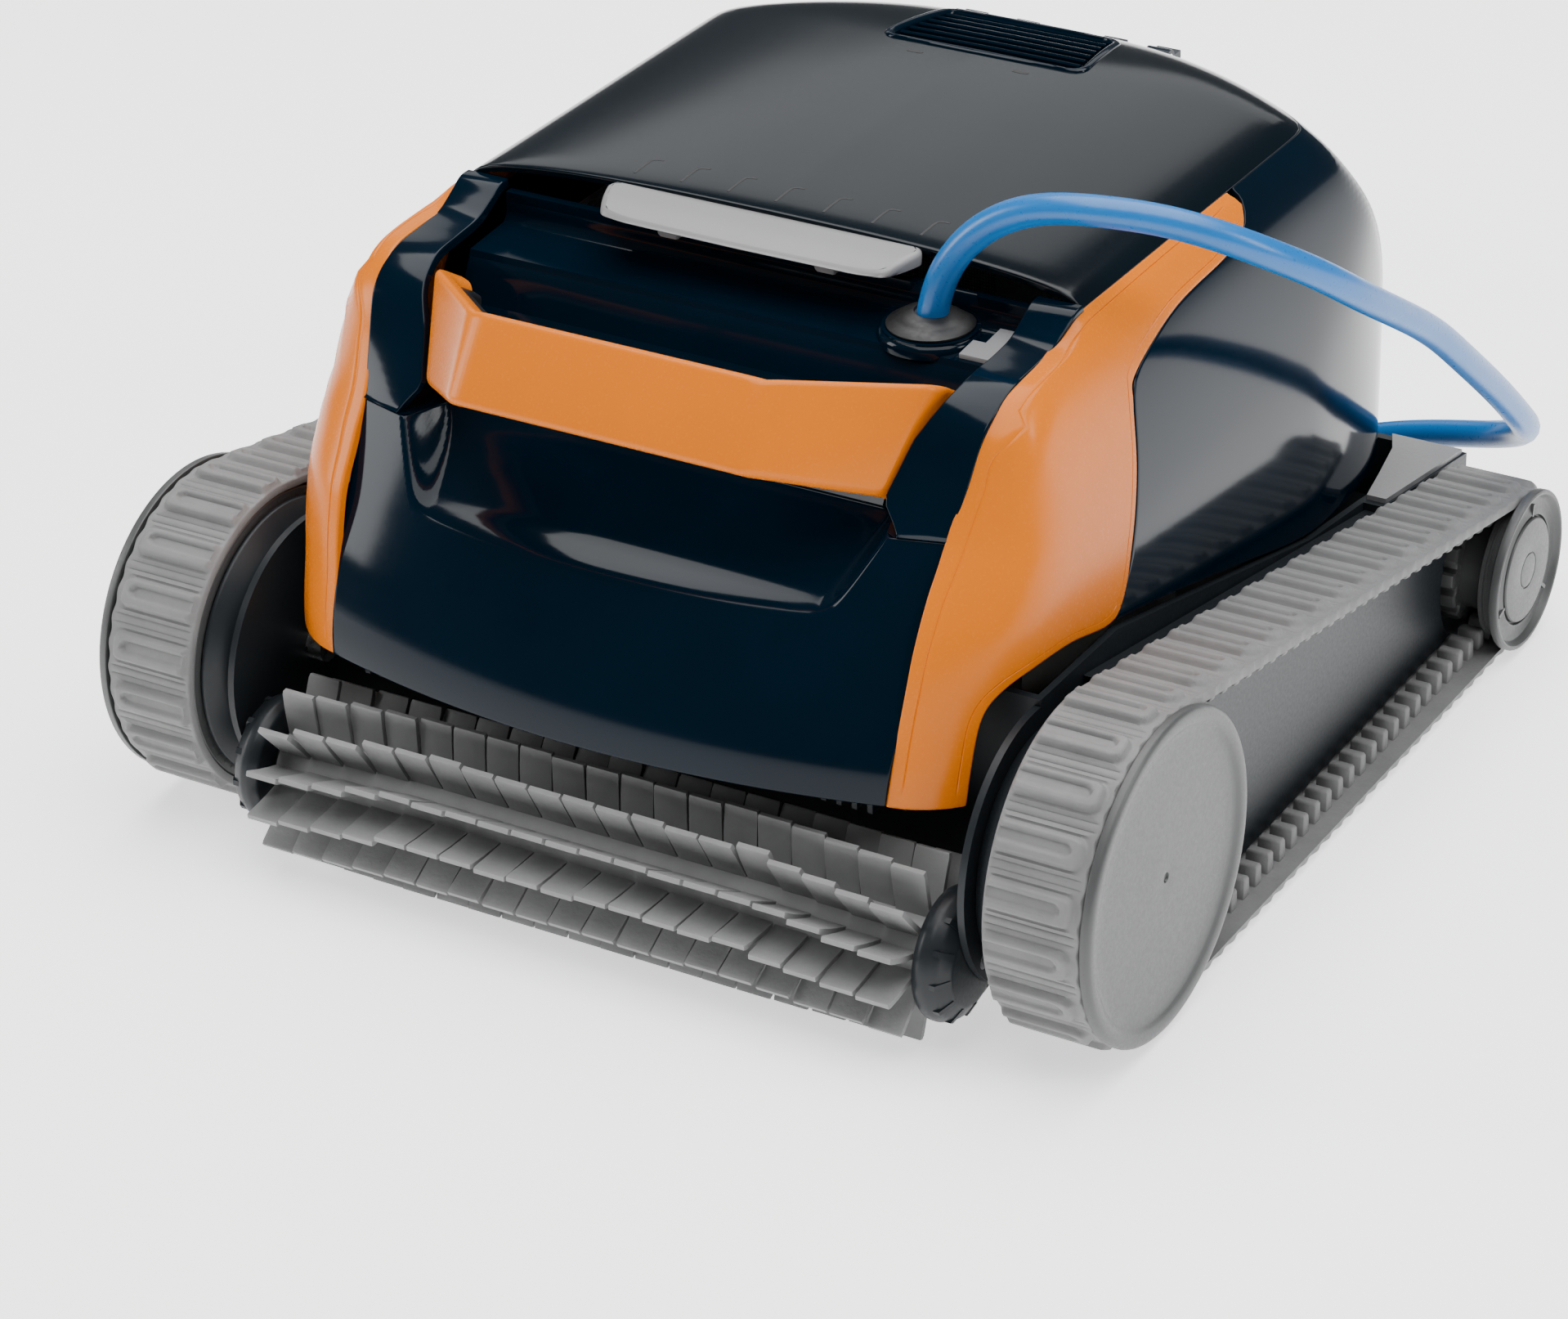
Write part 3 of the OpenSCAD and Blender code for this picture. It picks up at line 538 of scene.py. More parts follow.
def make_cable():
    run = calm(through(ROUTE, 4))
    coil = wound()
    lane = COIL[1] + 57.6
    rise = [(COIL[0] + x, lane, 27.9 + 19.1 * t * t * (3 - 2 * t)) for x, t in ((8, 0.02), (16, 0.2),
            (24, 0.4), (32, 0.6), (40, 0.8), (50, 1.0))]
    path = [tuple(p) for p in run] + [(-43.0, 227.6, 7.5)] + coil + rise
    data = bpy.data.curves.new("cable", "CURVE")
    data.dimensions = "3D"
    spline = data.splines.new("POLY")
    spline.points.add(len(path) - 1)
    for point, p in zip(spline.points, path):
        point.co = (p[0] * MM, p[1] * MM, p[2] * MM, 1)
    data.bevel_depth = CABLE / 2 * MM
    data.bevel_resolution = 5
    data.use_fill_caps = True
    data.materials.append(MAT["cable"])
    piece = place("cable", data)
    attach(piece, "hull")
    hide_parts("cable_run", "cable_coil")
    p = np.array(path)
    length = float(np.linalg.norm(np.diff(p, axis=0), axis=1).sum()) * MM


make_cable()


# ---------------------------------------------------------------- tracks
FRONT_R, REAR_R, CLEAT_H, BAND_T = 61.5, 33.5, 3.0, 3.0
BAND_F, BAND_R = FRONT_R - CLEAT_H, REAR_R - CLEAT_H
WHEELBASE = 305.0
TRACK_IN, TRACK_OUT = 160.0, 196.0
LEAN = 2 * math.asin((FRONT_R - REAR_R) / math.hypot(WHEELBASE, FRONT_R - REAR_R))
ARC_R, ARC_F = BAND_R * (math.pi - LEAN), BAND_F * (math.pi + LEAN)
LOOP = 2 * WHEELBASE + ARC_R + ARC_F
CLEATS = 46


def loop_at(s):
    """Point on the band's outer face at distance s, and its outward direction."""
    s = s % LOOP
    if s < WHEELBASE:
        return FY + s, CLEAT_H, -math.pi / 2
    s -= WHEELBASE
    if s < ARC_R:
        a = -math.pi / 2 + s / BAND_R
        return RY + BAND_R * math.cos(a), REAR_R + BAND_R * math.sin(a), a
    s -= ARC_R
    if s < WHEELBASE:
        y0, z0 = RY + BAND_R * math.sin(LEAN), REAR_R + BAND_R * math.cos(LEAN)
        return y0 - s * math.cos(LEAN), z0 + s * math.sin(LEAN), math.pi / 2 - LEAN
    s -= WHEELBASE
    a = math.pi / 2 - LEAN + s / BAND_F
    return FY + BAND_F * math.cos(a), FRONT_R + BAND_F * math.sin(a), a


def ease(t):
    t = min(1.0, max(0.0, t))
    return t * t * (3 - 2 * t)


def cleat_height(s, x):
    """Height of the tread over the band at s from a cleat's middle and x from the track's inner edge."""
    a = abs(s)
    end = 33.6 - x
    reach = min(ease((x - 0.6) / 1.6), ease(end / 2.6))
    half = 5.3 if end > 5.3 else math.sqrt(max(0.0, 5.3 ** 2 - (5.3 - max(end, 0.0)) ** 2))
    body = ease((half - a) / 1.7 + 0.35) * reach
    pocket_end = 28.6 - x
    pocket_half = 2.7
    if pocket_end <= 2.7:
        pocket_half = math.sqrt(max(0.0, 2.7 ** 2 - (2.7 - max(pocket_end, 0.0)) ** 2))
    pocket = ease((pocket_half - abs(s + 0.5)) / 1.1) * ease((x - 1.2) / 1.4)
    slope = 0.55 + 0.45 * (s + 5.3) / 10.6
    height = 2.95 * body * (0.78 + 0.22 * slope)
    height -= 1.75 * pocket * body * (1.0 - 0.35 * (s + 2.7) / 5.4)
    lip = 0.45 * ease(1 - abs(a - 6.6) / 0.7) * ease((x - 1) / 1.5) * ease((33 - x) / 2)
    height += lip * (1 - body)
    groove = 0.38 * max(0.0, 1 - abs(a - 8.2) / 0.32)
    return height - groove * ease((x - 0.6) / 1) * ease((34.6 - x) / 1)


def tread(side):
    """Band with moulded cleats outside and drive teeth inside."""
    pitch = LOOP / CLEATS
    fine = sorted({0.0, 0.5, 1.1, 1.7, 2.2, 2.8, 3.4, 4.0, 4.6, 5.1, 5.7, 6.2, 6.6, 7.0, 7.8, 8.2, 8.6})
    local = sorted({-v for v in fine} | set(fine)) + [pitch / 2]
    across = [0.0, 0.5, 1.0, 1.7, 2.4, 3.4, 6, 10, 14, 18, 22, 24.4, 25.6, 26.6, 27.4, 28.2, 29.2, 30.0,
              30.8, 31.5, 32.1, 32.7, 33.3, 34.0, 34.8, 35.5, 36.0]
    shape = [[cleat_height(s, x) for x in across] for s in local]
    rows = []
    for i in range(CLEATS):
        middle = (i + 0.5) * pitch
        for s, heights in zip(local, shape):
            y, z, a = loop_at(middle + s)
            notch = 0.5 * math.cos(2 * math.pi * s / pitch * 2)
            row = [(TRACK_IN, y - BAND_T * math.cos(a), z - BAND_T * math.sin(a))]
            for x, h in zip(across, heights):
                edge = -0.5 if x in (0.0, 36.0) else 0.0
                far = notch * 0.8 - 0.4 if x >= 35.5 else 0.0
                row.append((TRACK_IN + x + far, y + (h + edge) * math.cos(a), z + (h + edge) * math.sin(a)))
            row.append((TRACK_OUT, y - BAND_T * math.cos(a), z - BAND_T * math.sin(a)))
            rows.append(row)
    s = Solid()
    s.grid(rows, close_rows=True, close_cols=True)
    teeth = 2 * CLEATS
    for i in range(teeth):
        y, z, a = loop_at((i + 0.5) * LOOP / teeth)
        c, d = math.cos(a), math.sin(a)

        def at(x, t, h):
            return (x, y - (BAND_T + h) * c - t * d, z - (BAND_T + h) * d + t * c)
        rings = []
        for h, w, inset in ((-1.0, 2.75, 0.0), (0.6, 2.5, 0.0), (6.9, 2.05, 0.0), (7.6, 1.8, 0.3),
                            (8.0, 1.2, 0.9)):
            corners = [(180.0 + inset, -w + 0.4), (180.4 + inset, -w), (188.6 - inset, -w),
                       (189.0 - inset, -w + 0.4), (189.0 - inset, w - 0.4), (188.6 - inset, w),
                       (180.4 + inset, w), (180.0 + inset, w - 0.4)]
            rings.append([at(x, t, h) for x, t in corners])
        s.capped(rings)
    verts = s.verts if side > 0 else mirrored(s.verts)
    name = HAND[side]
    build("tread_" + name, verts, s.faces, "rubber", "hull", ("track_" + name,), angle=50)


# ---------------------------------------------------------------- wheels
def front_disc(side):
    """Dished outer disc with a rolled rim and a small centre mark."""
    name = HAND[side]
    profile = [(0.5, 0), (54.0, 0), (54.2, 0.3), (59.0, 0.3), (59.2, 0.6), (59.2, 2.4), (58.9, 3.1),
               (58.2, 3.7), (57.2, 3.95), (56.0, 4.0), (54.2, 3.8), (53.2, 3.3), (52.4, 2.7), (51.4, 2.25),
               (49.5, 2.0), (44.0, 1.95), (30.0, 2.05), (12.0, 2.2), (2.4, 2.25), (1.9, 2.2), (1.6, 1.5),
               (0.6, 1.4)]
    s = Solid()
    s.capped(turned([(r, TRACK_OUT + h) for r, h in profile], FY, FRONT_R, 120, side))
    build("front_disc_" + name, s.verts, s.faces, "wheel", "front_drive_" + name,
          ("front_wheel_cover_" + name,), angle=28)


def front_drum(side):
    """Drum inside the front part of the track, with the perforated inner rim that shows beside the body."""
    name = HAND[side]
    rim, floor_r = 55.2, 46.8
    profile = [(6.2, 190), (14, 190), (14, 190.4), (43.2, 190.4), (43.3, 189.5), (43.3, 163), (46, 161.2),
               (50.5, 160.9), (51, 160.2), (54.6, 160.2), (rim, 160.8), (rim, 179.3), (floor_r, 179.3),
               (floor_r, 189.7), (rim, 189.7), (rim, 195.9), (6.2, 195.9)]
    s = Solid()
    s.lathe(profile, FY, FRONT_R, 120, side)
    for k in range(60):
        a = 2 * math.pi * (k + 0.5) / 60
        ring, deep = [], []
        for j in range(8):
            b = 2 * math.pi * j / 8
            r = 52.8 + 0.75 * math.cos(b)
            t = a + 0.75 * math.sin(b) / 52.8
            ring.append((side * 160.15, FY + r * math.cos(t), FRONT_R + r * math.sin(t)))
            r = 52.8 + 0.3 * math.cos(b)
            deep.append((side * 160.05, FY + r * math.cos(t), FRONT_R + r * math.sin(t)))
        s.capped([ring, deep])
    build("front_drum_" + name, s.verts, s.faces, "wheel", "front_drive_" + name,
          ("front_wheel_" + name,), angle=28)


def rear_drum(side):
    """Coarse toothed drum, then a groove for the drive teeth and a plain collar."""
    name = HAND[side]
    rim, floor_r = 27.2, 18.8
    s = Solid()
    s.lathe([(5.1, 161.2), (floor_r - 0.6, 161.2), (floor_r - 0.6, 179.2), (5.1, 179.2)], RY, REAR_R, 64,
            side)
    count = 15
    ring_shape = []
    for k in range(count):
        a = 2 * math.pi * k / count
        step = 2 * math.pi / count
        for f, r in ((0.02, 22.4), (0.08, 24.0), (0.16, 24.7), (0.60, 24.9), (0.66, 24.5), (0.70, 22.2),
                     (0.82, 21.6), (0.94, 21.6)):
            ring_shape.append((r, a + f * step))

    def ring(x, shrink):
        return [(side * x, RY + (r - shrink) * math.cos(t), REAR_R + (r - shrink) * math.sin(t))
                for r, t in ring_shape]
    s.capped([ring(x, shrink) for x, shrink in ((161.2, 1.2), (161.8, 0.2), (162.4, 0.0), (178.0, 0.0),
                                                (178.7, 0.3), (179.2, 1.2))])
    neck = [(5.1, 179.2), (floor_r, 179.2), (floor_r, 189.6), (rim - 1, 189.6), (rim, 190.2), (rim, 191.6),
            (rim - 0.9, 192.0), (rim - 0.9, 193.0), (rim, 193.4), (rim, 195.4), (rim - 0.6, TRACK_OUT),
            (5.1, TRACK_OUT)]
    s.lathe(neck, RY, REAR_R, 96, side)
    build("rear_drum_" + name, s.verts, s.faces, "wheel", "rear_idler_" + name,
          ("rear_wheel_" + name,), angle=28)


def rear_disc(side):
    """Flange with two thin rims, a bridged slot between them and a round cap in the middle."""
    name = HAND[side]
    profile = [(0.5, 0), (26.2, 0), (26.3, 0.3), (31.0, 0.3), (31.4, 0.7), (31.5, 3.0), (31.2, 3.7),
               (30.5, 4.0), (29.7, 3.8), (29.2, 3.2), (28.8, 2.3), (28.0, 1.5), (26.6, 1.2), (24.0, 1.6),
               (22.6, 2.2), (22.1, 2.4), (21.7, 2.2), (21.6, 0.7), (20.8, 0.7), (20.6, 2.4), (20.2, 2.9),
               (19.6, 3.05), (7.6, 3.2), (7.3, 3.15), (7.1, 2.75), (6.8, 2.75), (6.6, 3.15), (6.3, 3.2),
               (0.8, 3.25)]
    s = Solid()
    s.capped(turned([(r, TRACK_OUT + h) for r, h in profile], RY, REAR_R, 96, side))
    for k in range(3):
        a = math.radians(200 + 120 * k)
        c, d = math.cos(a), math.sin(a)

        def at(r, t, x):
            return (side * x, RY + r * c - t * d, REAR_R + r * d + t * c)
        ring = ((21.3, -0.7), (26.2, -0.7), (26.2, 0.7), (21.3, 0.7))
        s.capped([[at(r, t, TRACK_OUT + h) for r, t in ring] for h in (0.8, 2.5)])
    build("rear_disc_" + name, s.verts, s.faces, "wheel", "rear_idler_" + name,
          ("rear_wheel_cover_" + name,), angle=26)


def housing(side):
    """Bevelled gear housing between the body and the front wheel."""
    name = HAND[side]
    profile = rounded([(6.1, 149.0), (42.5, 149.0), (52.0, 158.0), (52.0, 159.4), (30.0, 159.4),
                       (22.0, 180.0), (6.1, 180.0)], 1.6)
    s = Solid()
    s.lathe(profile, FY, FRONT_R, 96, side)
    for k in range(10):
        a = 2 * math.pi * k / 10 + 0.2
        ring = []
        for j in range(12):
            b = 2 * math.pi * j / 12
            ring.append((FY + 36 * math.cos(a) + 1.6 * math.cos(b),
                         FRONT_R + 36 * math.sin(a) + 1.6 * math.sin(b)))
        s.capped([[(side * x, y, z) for y, z in ring] for x in (148.9, 148.4)])
    build("wheel_housing_shape_" + name, s.verts, s.faces, "slate", "hull", ("wheel_housing_" + name,),
          angle=28)


for hand in (1, -1):
    tread(hand)
    front_disc(hand)
    front_drum(hand)
    rear_drum(hand)
    rear_disc(hand)
    housing(hand)


# ---------------------------------------------------------------- brush
def brush():
    """Rows of soft rubber flaps, each a little bent, on a sleeve."""
    by, bz = BRUSH
    count, rows_n, half = 19, 12, 131.0
    pitch = 2 * half / count
    mid = (count - 1) / 2
    s = Solid()
    s.lathe([(13.05, -half + 0.4), (14.3, -half + 0.4), (14.3, half - 0.8), (13.05, half - 0.8)], by, bz,
            64)
    rng = np.random.default_rng(7)
    for i in range(count):
        x0 = -half + i * pitch + 0.35
        x1 = -half + (i + 1) * pitch - 0.35
        turn_by = max(0.0, abs(i - mid) - 5) * 3
        for k in range(rows_n):
            a = math.radians(turn_by + k * 360 / rows_n)
            lean = (rng.random() - 0.5) * 0.05 - 0.02
            skew = (rng.random() - 0.5) * 0.5
            rings = []
            for r, w in ((13.6, 1.3), (15.0, 1.1), (20.0, 1.02), (26.0, 1.0), (31.6, 1.0), (32.6, 0.95),
                         (32.9, 0.8)):
                f = (r - 13.6) / 19.3
                t = lean * f * f
                u = (math.cos(a + t), math.sin(a + t))
                n = (-u[1], u[0])
                inset = 0.0 if r < 32 else 0.25

                def at(x, side_w):
                    return (x, by + r * u[0] + side_w * n[0], bz + r * u[1] + side_w * n[1])
                dx = skew * f
                lo = max(x0 + dx, x0 - 0.1) + inset
                hi = min(x1 + dx, x1 + 0.1) - inset
                rings.append([at(lo, -w), at(lo + 0.25, -w - 0.08), at(hi - 0.25, -w - 0.08), at(hi, -w),
                              at(hi, w), at(hi - 0.25, w + 0.08), at(lo + 0.25, w + 0.08), at(lo, w)])
            s.capped(rings)
    build("brush_flap_rows", s.verts, s.faces, "flap", "brush", ("brush_flaps",), angle=40)


def brush_ends():
    by, bz = BRUSH
    s = Solid()
    for side in (1, -1):
        profile = rounded([(3.08, 146), (17, 146), (22, 143), (24, 139), (24, 136), (22, 133), (9, 132),
                           (9, 124), (5, 124), (5, 139), (3.08, 139)], 0.9, 3)
        s.lathe(profile, by, bz, 72, side)
        for k in range(12):
            a = 2 * math.pi * k / 12
            ring = []
            for r, t in ((17.6, -1.0), (23.3, -1.0), (23.3, 1.0), (17.6, 1.0)):
                ring.append((by + r * math.cos(a) - t * math.sin(a), bz + r * math.sin(a) + t * math.cos(a)))
            lower = [(side * (145.9 if n in (0, 3) else 140.5), y, z) for n, (y, z) in enumerate(ring)]
            upper = [(side * (146.0 if n in (0, 3) else 142.8), y, z) for n, (y, z) in enumerate(ring)]
            s.capped([lower, upper])
    build("brush_end_caps", s.verts, s.faces, "slate", "brush", ("brush_caps",), angle=30)


brush()
brush_ends()


# ---------------------------------------------------------------- body shells
def project(p):
    """Pushes guessed points out to the body's surface along rays that leave it squarely."""
    p = np.asarray(p, float)
    side = np.sign(p[..., 0]) + (p[..., 0] == 0)
    o = np.stack([side * 70, np.clip(p[..., 1], 25, 255), np.minimum(p[..., 2], 175)], axis=-1)
    o[..., 2] = np.where(p[..., 1] < 25, p[..., 2], o[..., 2])
    d = p - o
    d /= np.linalg.norm(d, axis=-1, keepdims=True)
    return cast(o, d)


def put(name, solid, material, body, stands_for, side=1, angle=38):
    verts = to_final(solid.verts)
    if side < 0:
        verts = mirrored(verts)
    return build(name, verts, solid.faces, material, body, stands_for, angle=angle)


def flank_x(y, z):
    return float(cast(np.array([0.0, y, z]), np.array([1.0, 0.0, 0.0]))[0])


def side_panel(side):
    name = HAND[side]
    seam = [(-36, 83), (-33, 97), (-27.5, 118), (-21.5, 137), (-13, 152), (0, 170), (8, 185), (14.5, 199),
            (30, 209.6), (54, 213), (70, 217.4), (82, 218.7), (112, 218.7), (150, 218.7), (180, 218.7),
            (191, 218.6)]
    back = [(-23.6, 82.5), (-21, 95), (-14, 113.5), (-6, 121.5), (8, 124.6), (29, 123.6), (56, 117.6),
            (66, 122), (73, 139), (81, 163), (86.5, 185.5), (93.5, 194.6), (129, 203.2), (169, 205.4), (186,
                    208.6), (193, 214.5)]
    e1, e2 = [], []
    for y, z in seam:
        x = float(SEAM_X(z)) + 0.3
        e1.append((x if y < 76 else flank_x(y, z), y, z))
    for y, z in back:
        e2.append((137.0 if y < -15 else flank_x(y, z), y, z))
    E1, E2 = through(e1, 7), through(e2, 7)
    width = np.linalg.norm(project(E2) - project(E1), axis=1)
    lines = np.array([0, 0.5, 1.2, 2.6, 3.45, 3.8, 4.15, 4.5,
                      5.2])  # the fine line lies 3.8 mm in from the edge
    rows = []
    for w in width:
        near = np.minimum(lines, lines / 5.2 * w * 0.3) / w
        inner = np.linspace(near[-1], 1 - near[-1], 14)[1:-1]
        rows.append(np.r_[near, inner, 1 - near[::-1]])
    vs = np.array(rows)
    a, b = E1[:, None, :], E2[:, None, :]
    P = project(a + (b - a) * vs[..., None])
    N = surface_normal(P)
    line = np.zeros(P.shape[:2])
    line[:, 5] = line[:, -6] = LINE_DEPTH
    line[:4, :] = 0
    line[-7:, :] = 0
    put("side_panel_skin_" + name, shell_piece(P, N, SHELL, 0.7, line), "orange", "hull",
        ("side_panel_" + name,), side)


def around(theta, z):
    """Body surface seen level from the upright line x 0, y 150."""
    theta, z = np.broadcast_arrays(theta, z)
    o = np.stack([np.zeros_like(z), np.full_like(z, 150.0), z], axis=-1)
    return cast(o, np.stack([np.cos(theta), np.sin(theta), np.zeros_like(z)], axis=-1))


def as_angle(points):
    """(angle, height) of points given as side x, y, z, or as y, z on the flank."""
    out = []
    for p in points:
        if len(p) == 2:
            q = cast(np.array([0.0, p[0], p[1]]), np.array([1.0, 0.0, 0.0]))
        elif p[0] < 71:
            q = cast(np.array([p[0], 170.0, p[2]]), np.array([0.0, 1.0, 0.0]))
        else:
            q = np.array(p, float)
        out.append((math.atan2(q[1] - 150, q[0]), q[2], 0.0))
    return np.array(out)


def side_shell(side):
    """Dark shell from behind the orange panel round to the rear."""
    name = HAND[side]
    front = [(60.9, 117.2), (70.7, 129.4), (77.5, 147), (83.3, 166), (88.3, 186.2), (94.5, 193.2),
             (112, 198.8), (129, 202.2), (150, 203.6), (169, 204.3), (187, 207.7), (194.2, 213),
             (196.2, 218.7)]
    bottom = [(61, 117.2), (120, 103), (170, 89.5), (215, 78.0), (262, 72), (300, 66.5), (128, 326, 62),
              (100, 345, 59.5), (70.3, 352, 58.5)]
    top = [(196.2, 218.7), (215, 218.7), (235, 218.7), (255, 218.7), (106, 270, 218.7), (90, 285, 218.7),
           (70.3, 296, 218.7)]
    back = [(70.3, 350, 58.5), (70.3, 351, 90), (70.3, 349, 120), (70.3, 343, 150), (70.3, 330, 184),
            (70.3, 312, 206), (70.3, 296, 218.7)]
    for line in (bottom, top):
        for k, p in enumerate(line):
            if len(p) == 3 and p[0] > 71:
                a = math.atan2(p[1] - 150, p[0])
                q = around(a, np.array(float(p[2])))
                line[k] = (float(q[0]), float(q[1]), p[2])
    B, T = as_angle(bottom), as_angle(top)
    L, R = as_angle(front), as_angle(back)
    scale = np.array([130.0, 1.0, 1.0])
    B, T, L, R = (resample(through(list(map(tuple, c * scale)), 8), 100) for c in (B, T, L, R))
    us = np.sort(np.r_[np.linspace(0, 1, 58), 0.004, 0.01, 0.99, 0.996])
    vs = np.sort(np.r_[np.linspace(0, 1, 46), 0.005, 0.012, 0.988, 0.995])
    G = coons(B, T, L, R, us, vs) / scale
    P = around(G[..., 0], G[..., 1])
    put("side_shell_skin_" + name, shell_piece(P, surface_normal(P), SHELL, 0.6), "navy", "hull",
        ("side_shell_" + name,), side)


def rear_cover():
    xs = np.sort(np.r_[np.linspace(-69.5, 69.5, 30), -69.2, -68.6, 68.6, 69.2])
    edge = [(300, 217.2), (306, 212.6), (318, 201), (331, 184), (342, 160), (349, 130), (351, 105),
            (350.5, 85), (348, 66)]
    line = through([(0, y, z) for y, z in edge], 6)
    G = np.stack([np.broadcast_to(xs[None, :], (len(line), len(xs))),
                  np.broadcast_to(line[:, 1][:, None], (len(line), len(xs))),
                  np.broadcast_to(line[:, 2][:, None], (len(line), len(xs)))], axis=-1)
    o = np.stack([G[..., 0], np.full(G.shape[:2], 170.0), np.full(G.shape[:2], 120.0)], axis=-1)
    d = G - o
    d[..., 0] = 0
    d /= np.linalg.norm(d, axis=-1, keepdims=True)
    P = cast(o, d)
    N = surface_normal(P)
    put("rear_cover_skin", shell_piece(P, N, SHELL, 0.6), "navy", "hull", ())


def prism(outline, z0, z1):
    """Closed prism of a plan outline, as vertices and faces."""
    n = len(outline)
    verts = [(x, y, z0) for x, y in outline] + [(x, y, z1) for x, y in outline]
    faces = [tuple(range(n))[::-1], tuple(range(n, 2 * n))]
    faces += [(k, (k + 1) % n, n + (k + 1) % n, n + k) for k in range(n)]
    return verts, faces


def round_outline(points, radius, steps=5):
    """Closed outline with rounded corners."""
    out = []
    n = len(points)
    for i in range(n):
        a, b, c = (np.array(points[k % n], float) for k in (i - 1, i, i + 1))
        u, v = a - b, c - b
        lu, lv = np.linalg.norm(u), np.linalg.norm(v)
        r = min(radius, 0.45 * lu, 0.45 * lv)
        p, q = b + u / lu * r, b + v / lv * r
        for t in np.linspace(0, 1, steps + 1):
            out.append(tuple((1 - t) ** 2 * p + 2 * t * (1 - t) * b + t * t * q))
    return out


def cut(piece, outline, z0, z1):
    """Cuts an upright prism out of a piece and applies it."""
    verts, faces = prism([(x, y + FY) for x, y in outline], z0, z1)
    mesh = bpy.data.meshes.new("cutter")
    mesh.from_pydata([tuple(MM * c for c in v) for v in verts], [], faces)
    cutter = place("cutter", mesh)
    work = piece.modifiers.new("cut", "BOOLEAN")
    work.operation, work.solver, work.object = "DIFFERENCE", "EXACT", cutter
    bpy.context.view_layer.update()
    done = bpy.data.meshes.new_from_object(piece.evaluated_get(bpy.context.evaluated_depsgraph_get()))
    piece.modifiers.clear()
    piece.data = done
    bpy.data.objects.remove(cutter)
    done.polygons.foreach_set("use_smooth", [True] * len(done.polygons))
    done.set_sharp_from_angle(angle=math.radians(38))


def slot_ring(x, y, half, thin, power):
    """Plan points round a small slot with rounded ends."""
    def part(reach, v):
        return reach * math.copysign(abs(v) ** power, v)
    return [(x + part(half, math.cos(a)), y + part(thin, math.sin(a)))
            for a in (2 * math.pi * k / 20 for k in range(20))]


GRILLE = [(-41, 238), (41, 238), (35, 281), (-35, 281)]


def lid_point(x, y):
    """Surface points of the lid above plan positions."""
    x, y = np.broadcast_arrays(np.asarray(x, float), np.asarray(y, float))
    o = np.stack([x, y, np.full(x.shape, 120.0)], axis=-1)
    return cast(o, np.array([0.0, 0.0, 1.0]))


def lid_cover():
    ys = 82.4 + 214.0 * spread(214.0, 5.0)
    cols = np.sort(np.r_[np.linspace(-1, 1, 61), -0.997, -0.99, -0.98, 0.98, 0.99, 0.997])
    edge = cast(np.stack([np.zeros_like(ys), ys, np.full_like(ys, LID_Z)], axis=-1), np.array([1.0, 0, 0]))[:,
            0]
    phi = np.arctan2(edge, LID_Z - 120)[:, None] * cols[None, :]
    o = np.stack([np.zeros_like(phi), np.broadcast_to(ys[:, None], phi.shape), np.full(phi.shape, 120.0)],
                 axis=-1)
    d = np.stack([np.sin(phi), np.zeros_like(phi), np.cos(phi)], axis=-1)
    P = cast(o, d)
    N = surface_normal(P)
    lid = put("lid_skin", shell_piece(P, N, LID_WALL, 0.7), "lid", "lid", ("lid",))
    cut(lid, round_outline(GRILLE, 5), 200, 245)


def ticks():
    """Seven fine marks behind the latch bar."""
    s = Solid()
    for k in range(7):
        x0 = -57.6 + 19.2 * k
        line = [(x0, 88.6), (x0, 98.5), (x0 + 0.5, 100.4), (x0 + 1.8, 101.3), (x0 + 4.2, 101.6)]
        line = through([(x, y, 0) for x, y in line], 3)[:, :2]
        left, right = [], []
        for i, p in enumerate(line):
            t = line[min(i + 1, len(line) - 1)] - line[max(i - 1, 0)]
            t /= np.linalg.norm(t)
            n = np.array([-t[1], t[0]]) * 0.5
            left.append(p + n)
            right.append(p - n)
        pl = lid_point([p[0] for p in left], [p[1] for p in left])
        pr = lid_point([p[0] for p in right], [p[1] for p in right])
        rows = []
        for a, b in zip(pl, pr):
            rows.append([(a[0], a[1], a[2] - 0.5), (a[0], a[1], a[2] + 0.06), (b[0], b[1], b[2] + 0.06),
                         (b[0], b[1], b[2] - 0.5)])
        s.capped(rows)
    put("lid_marks", s, "black", "lid", ())


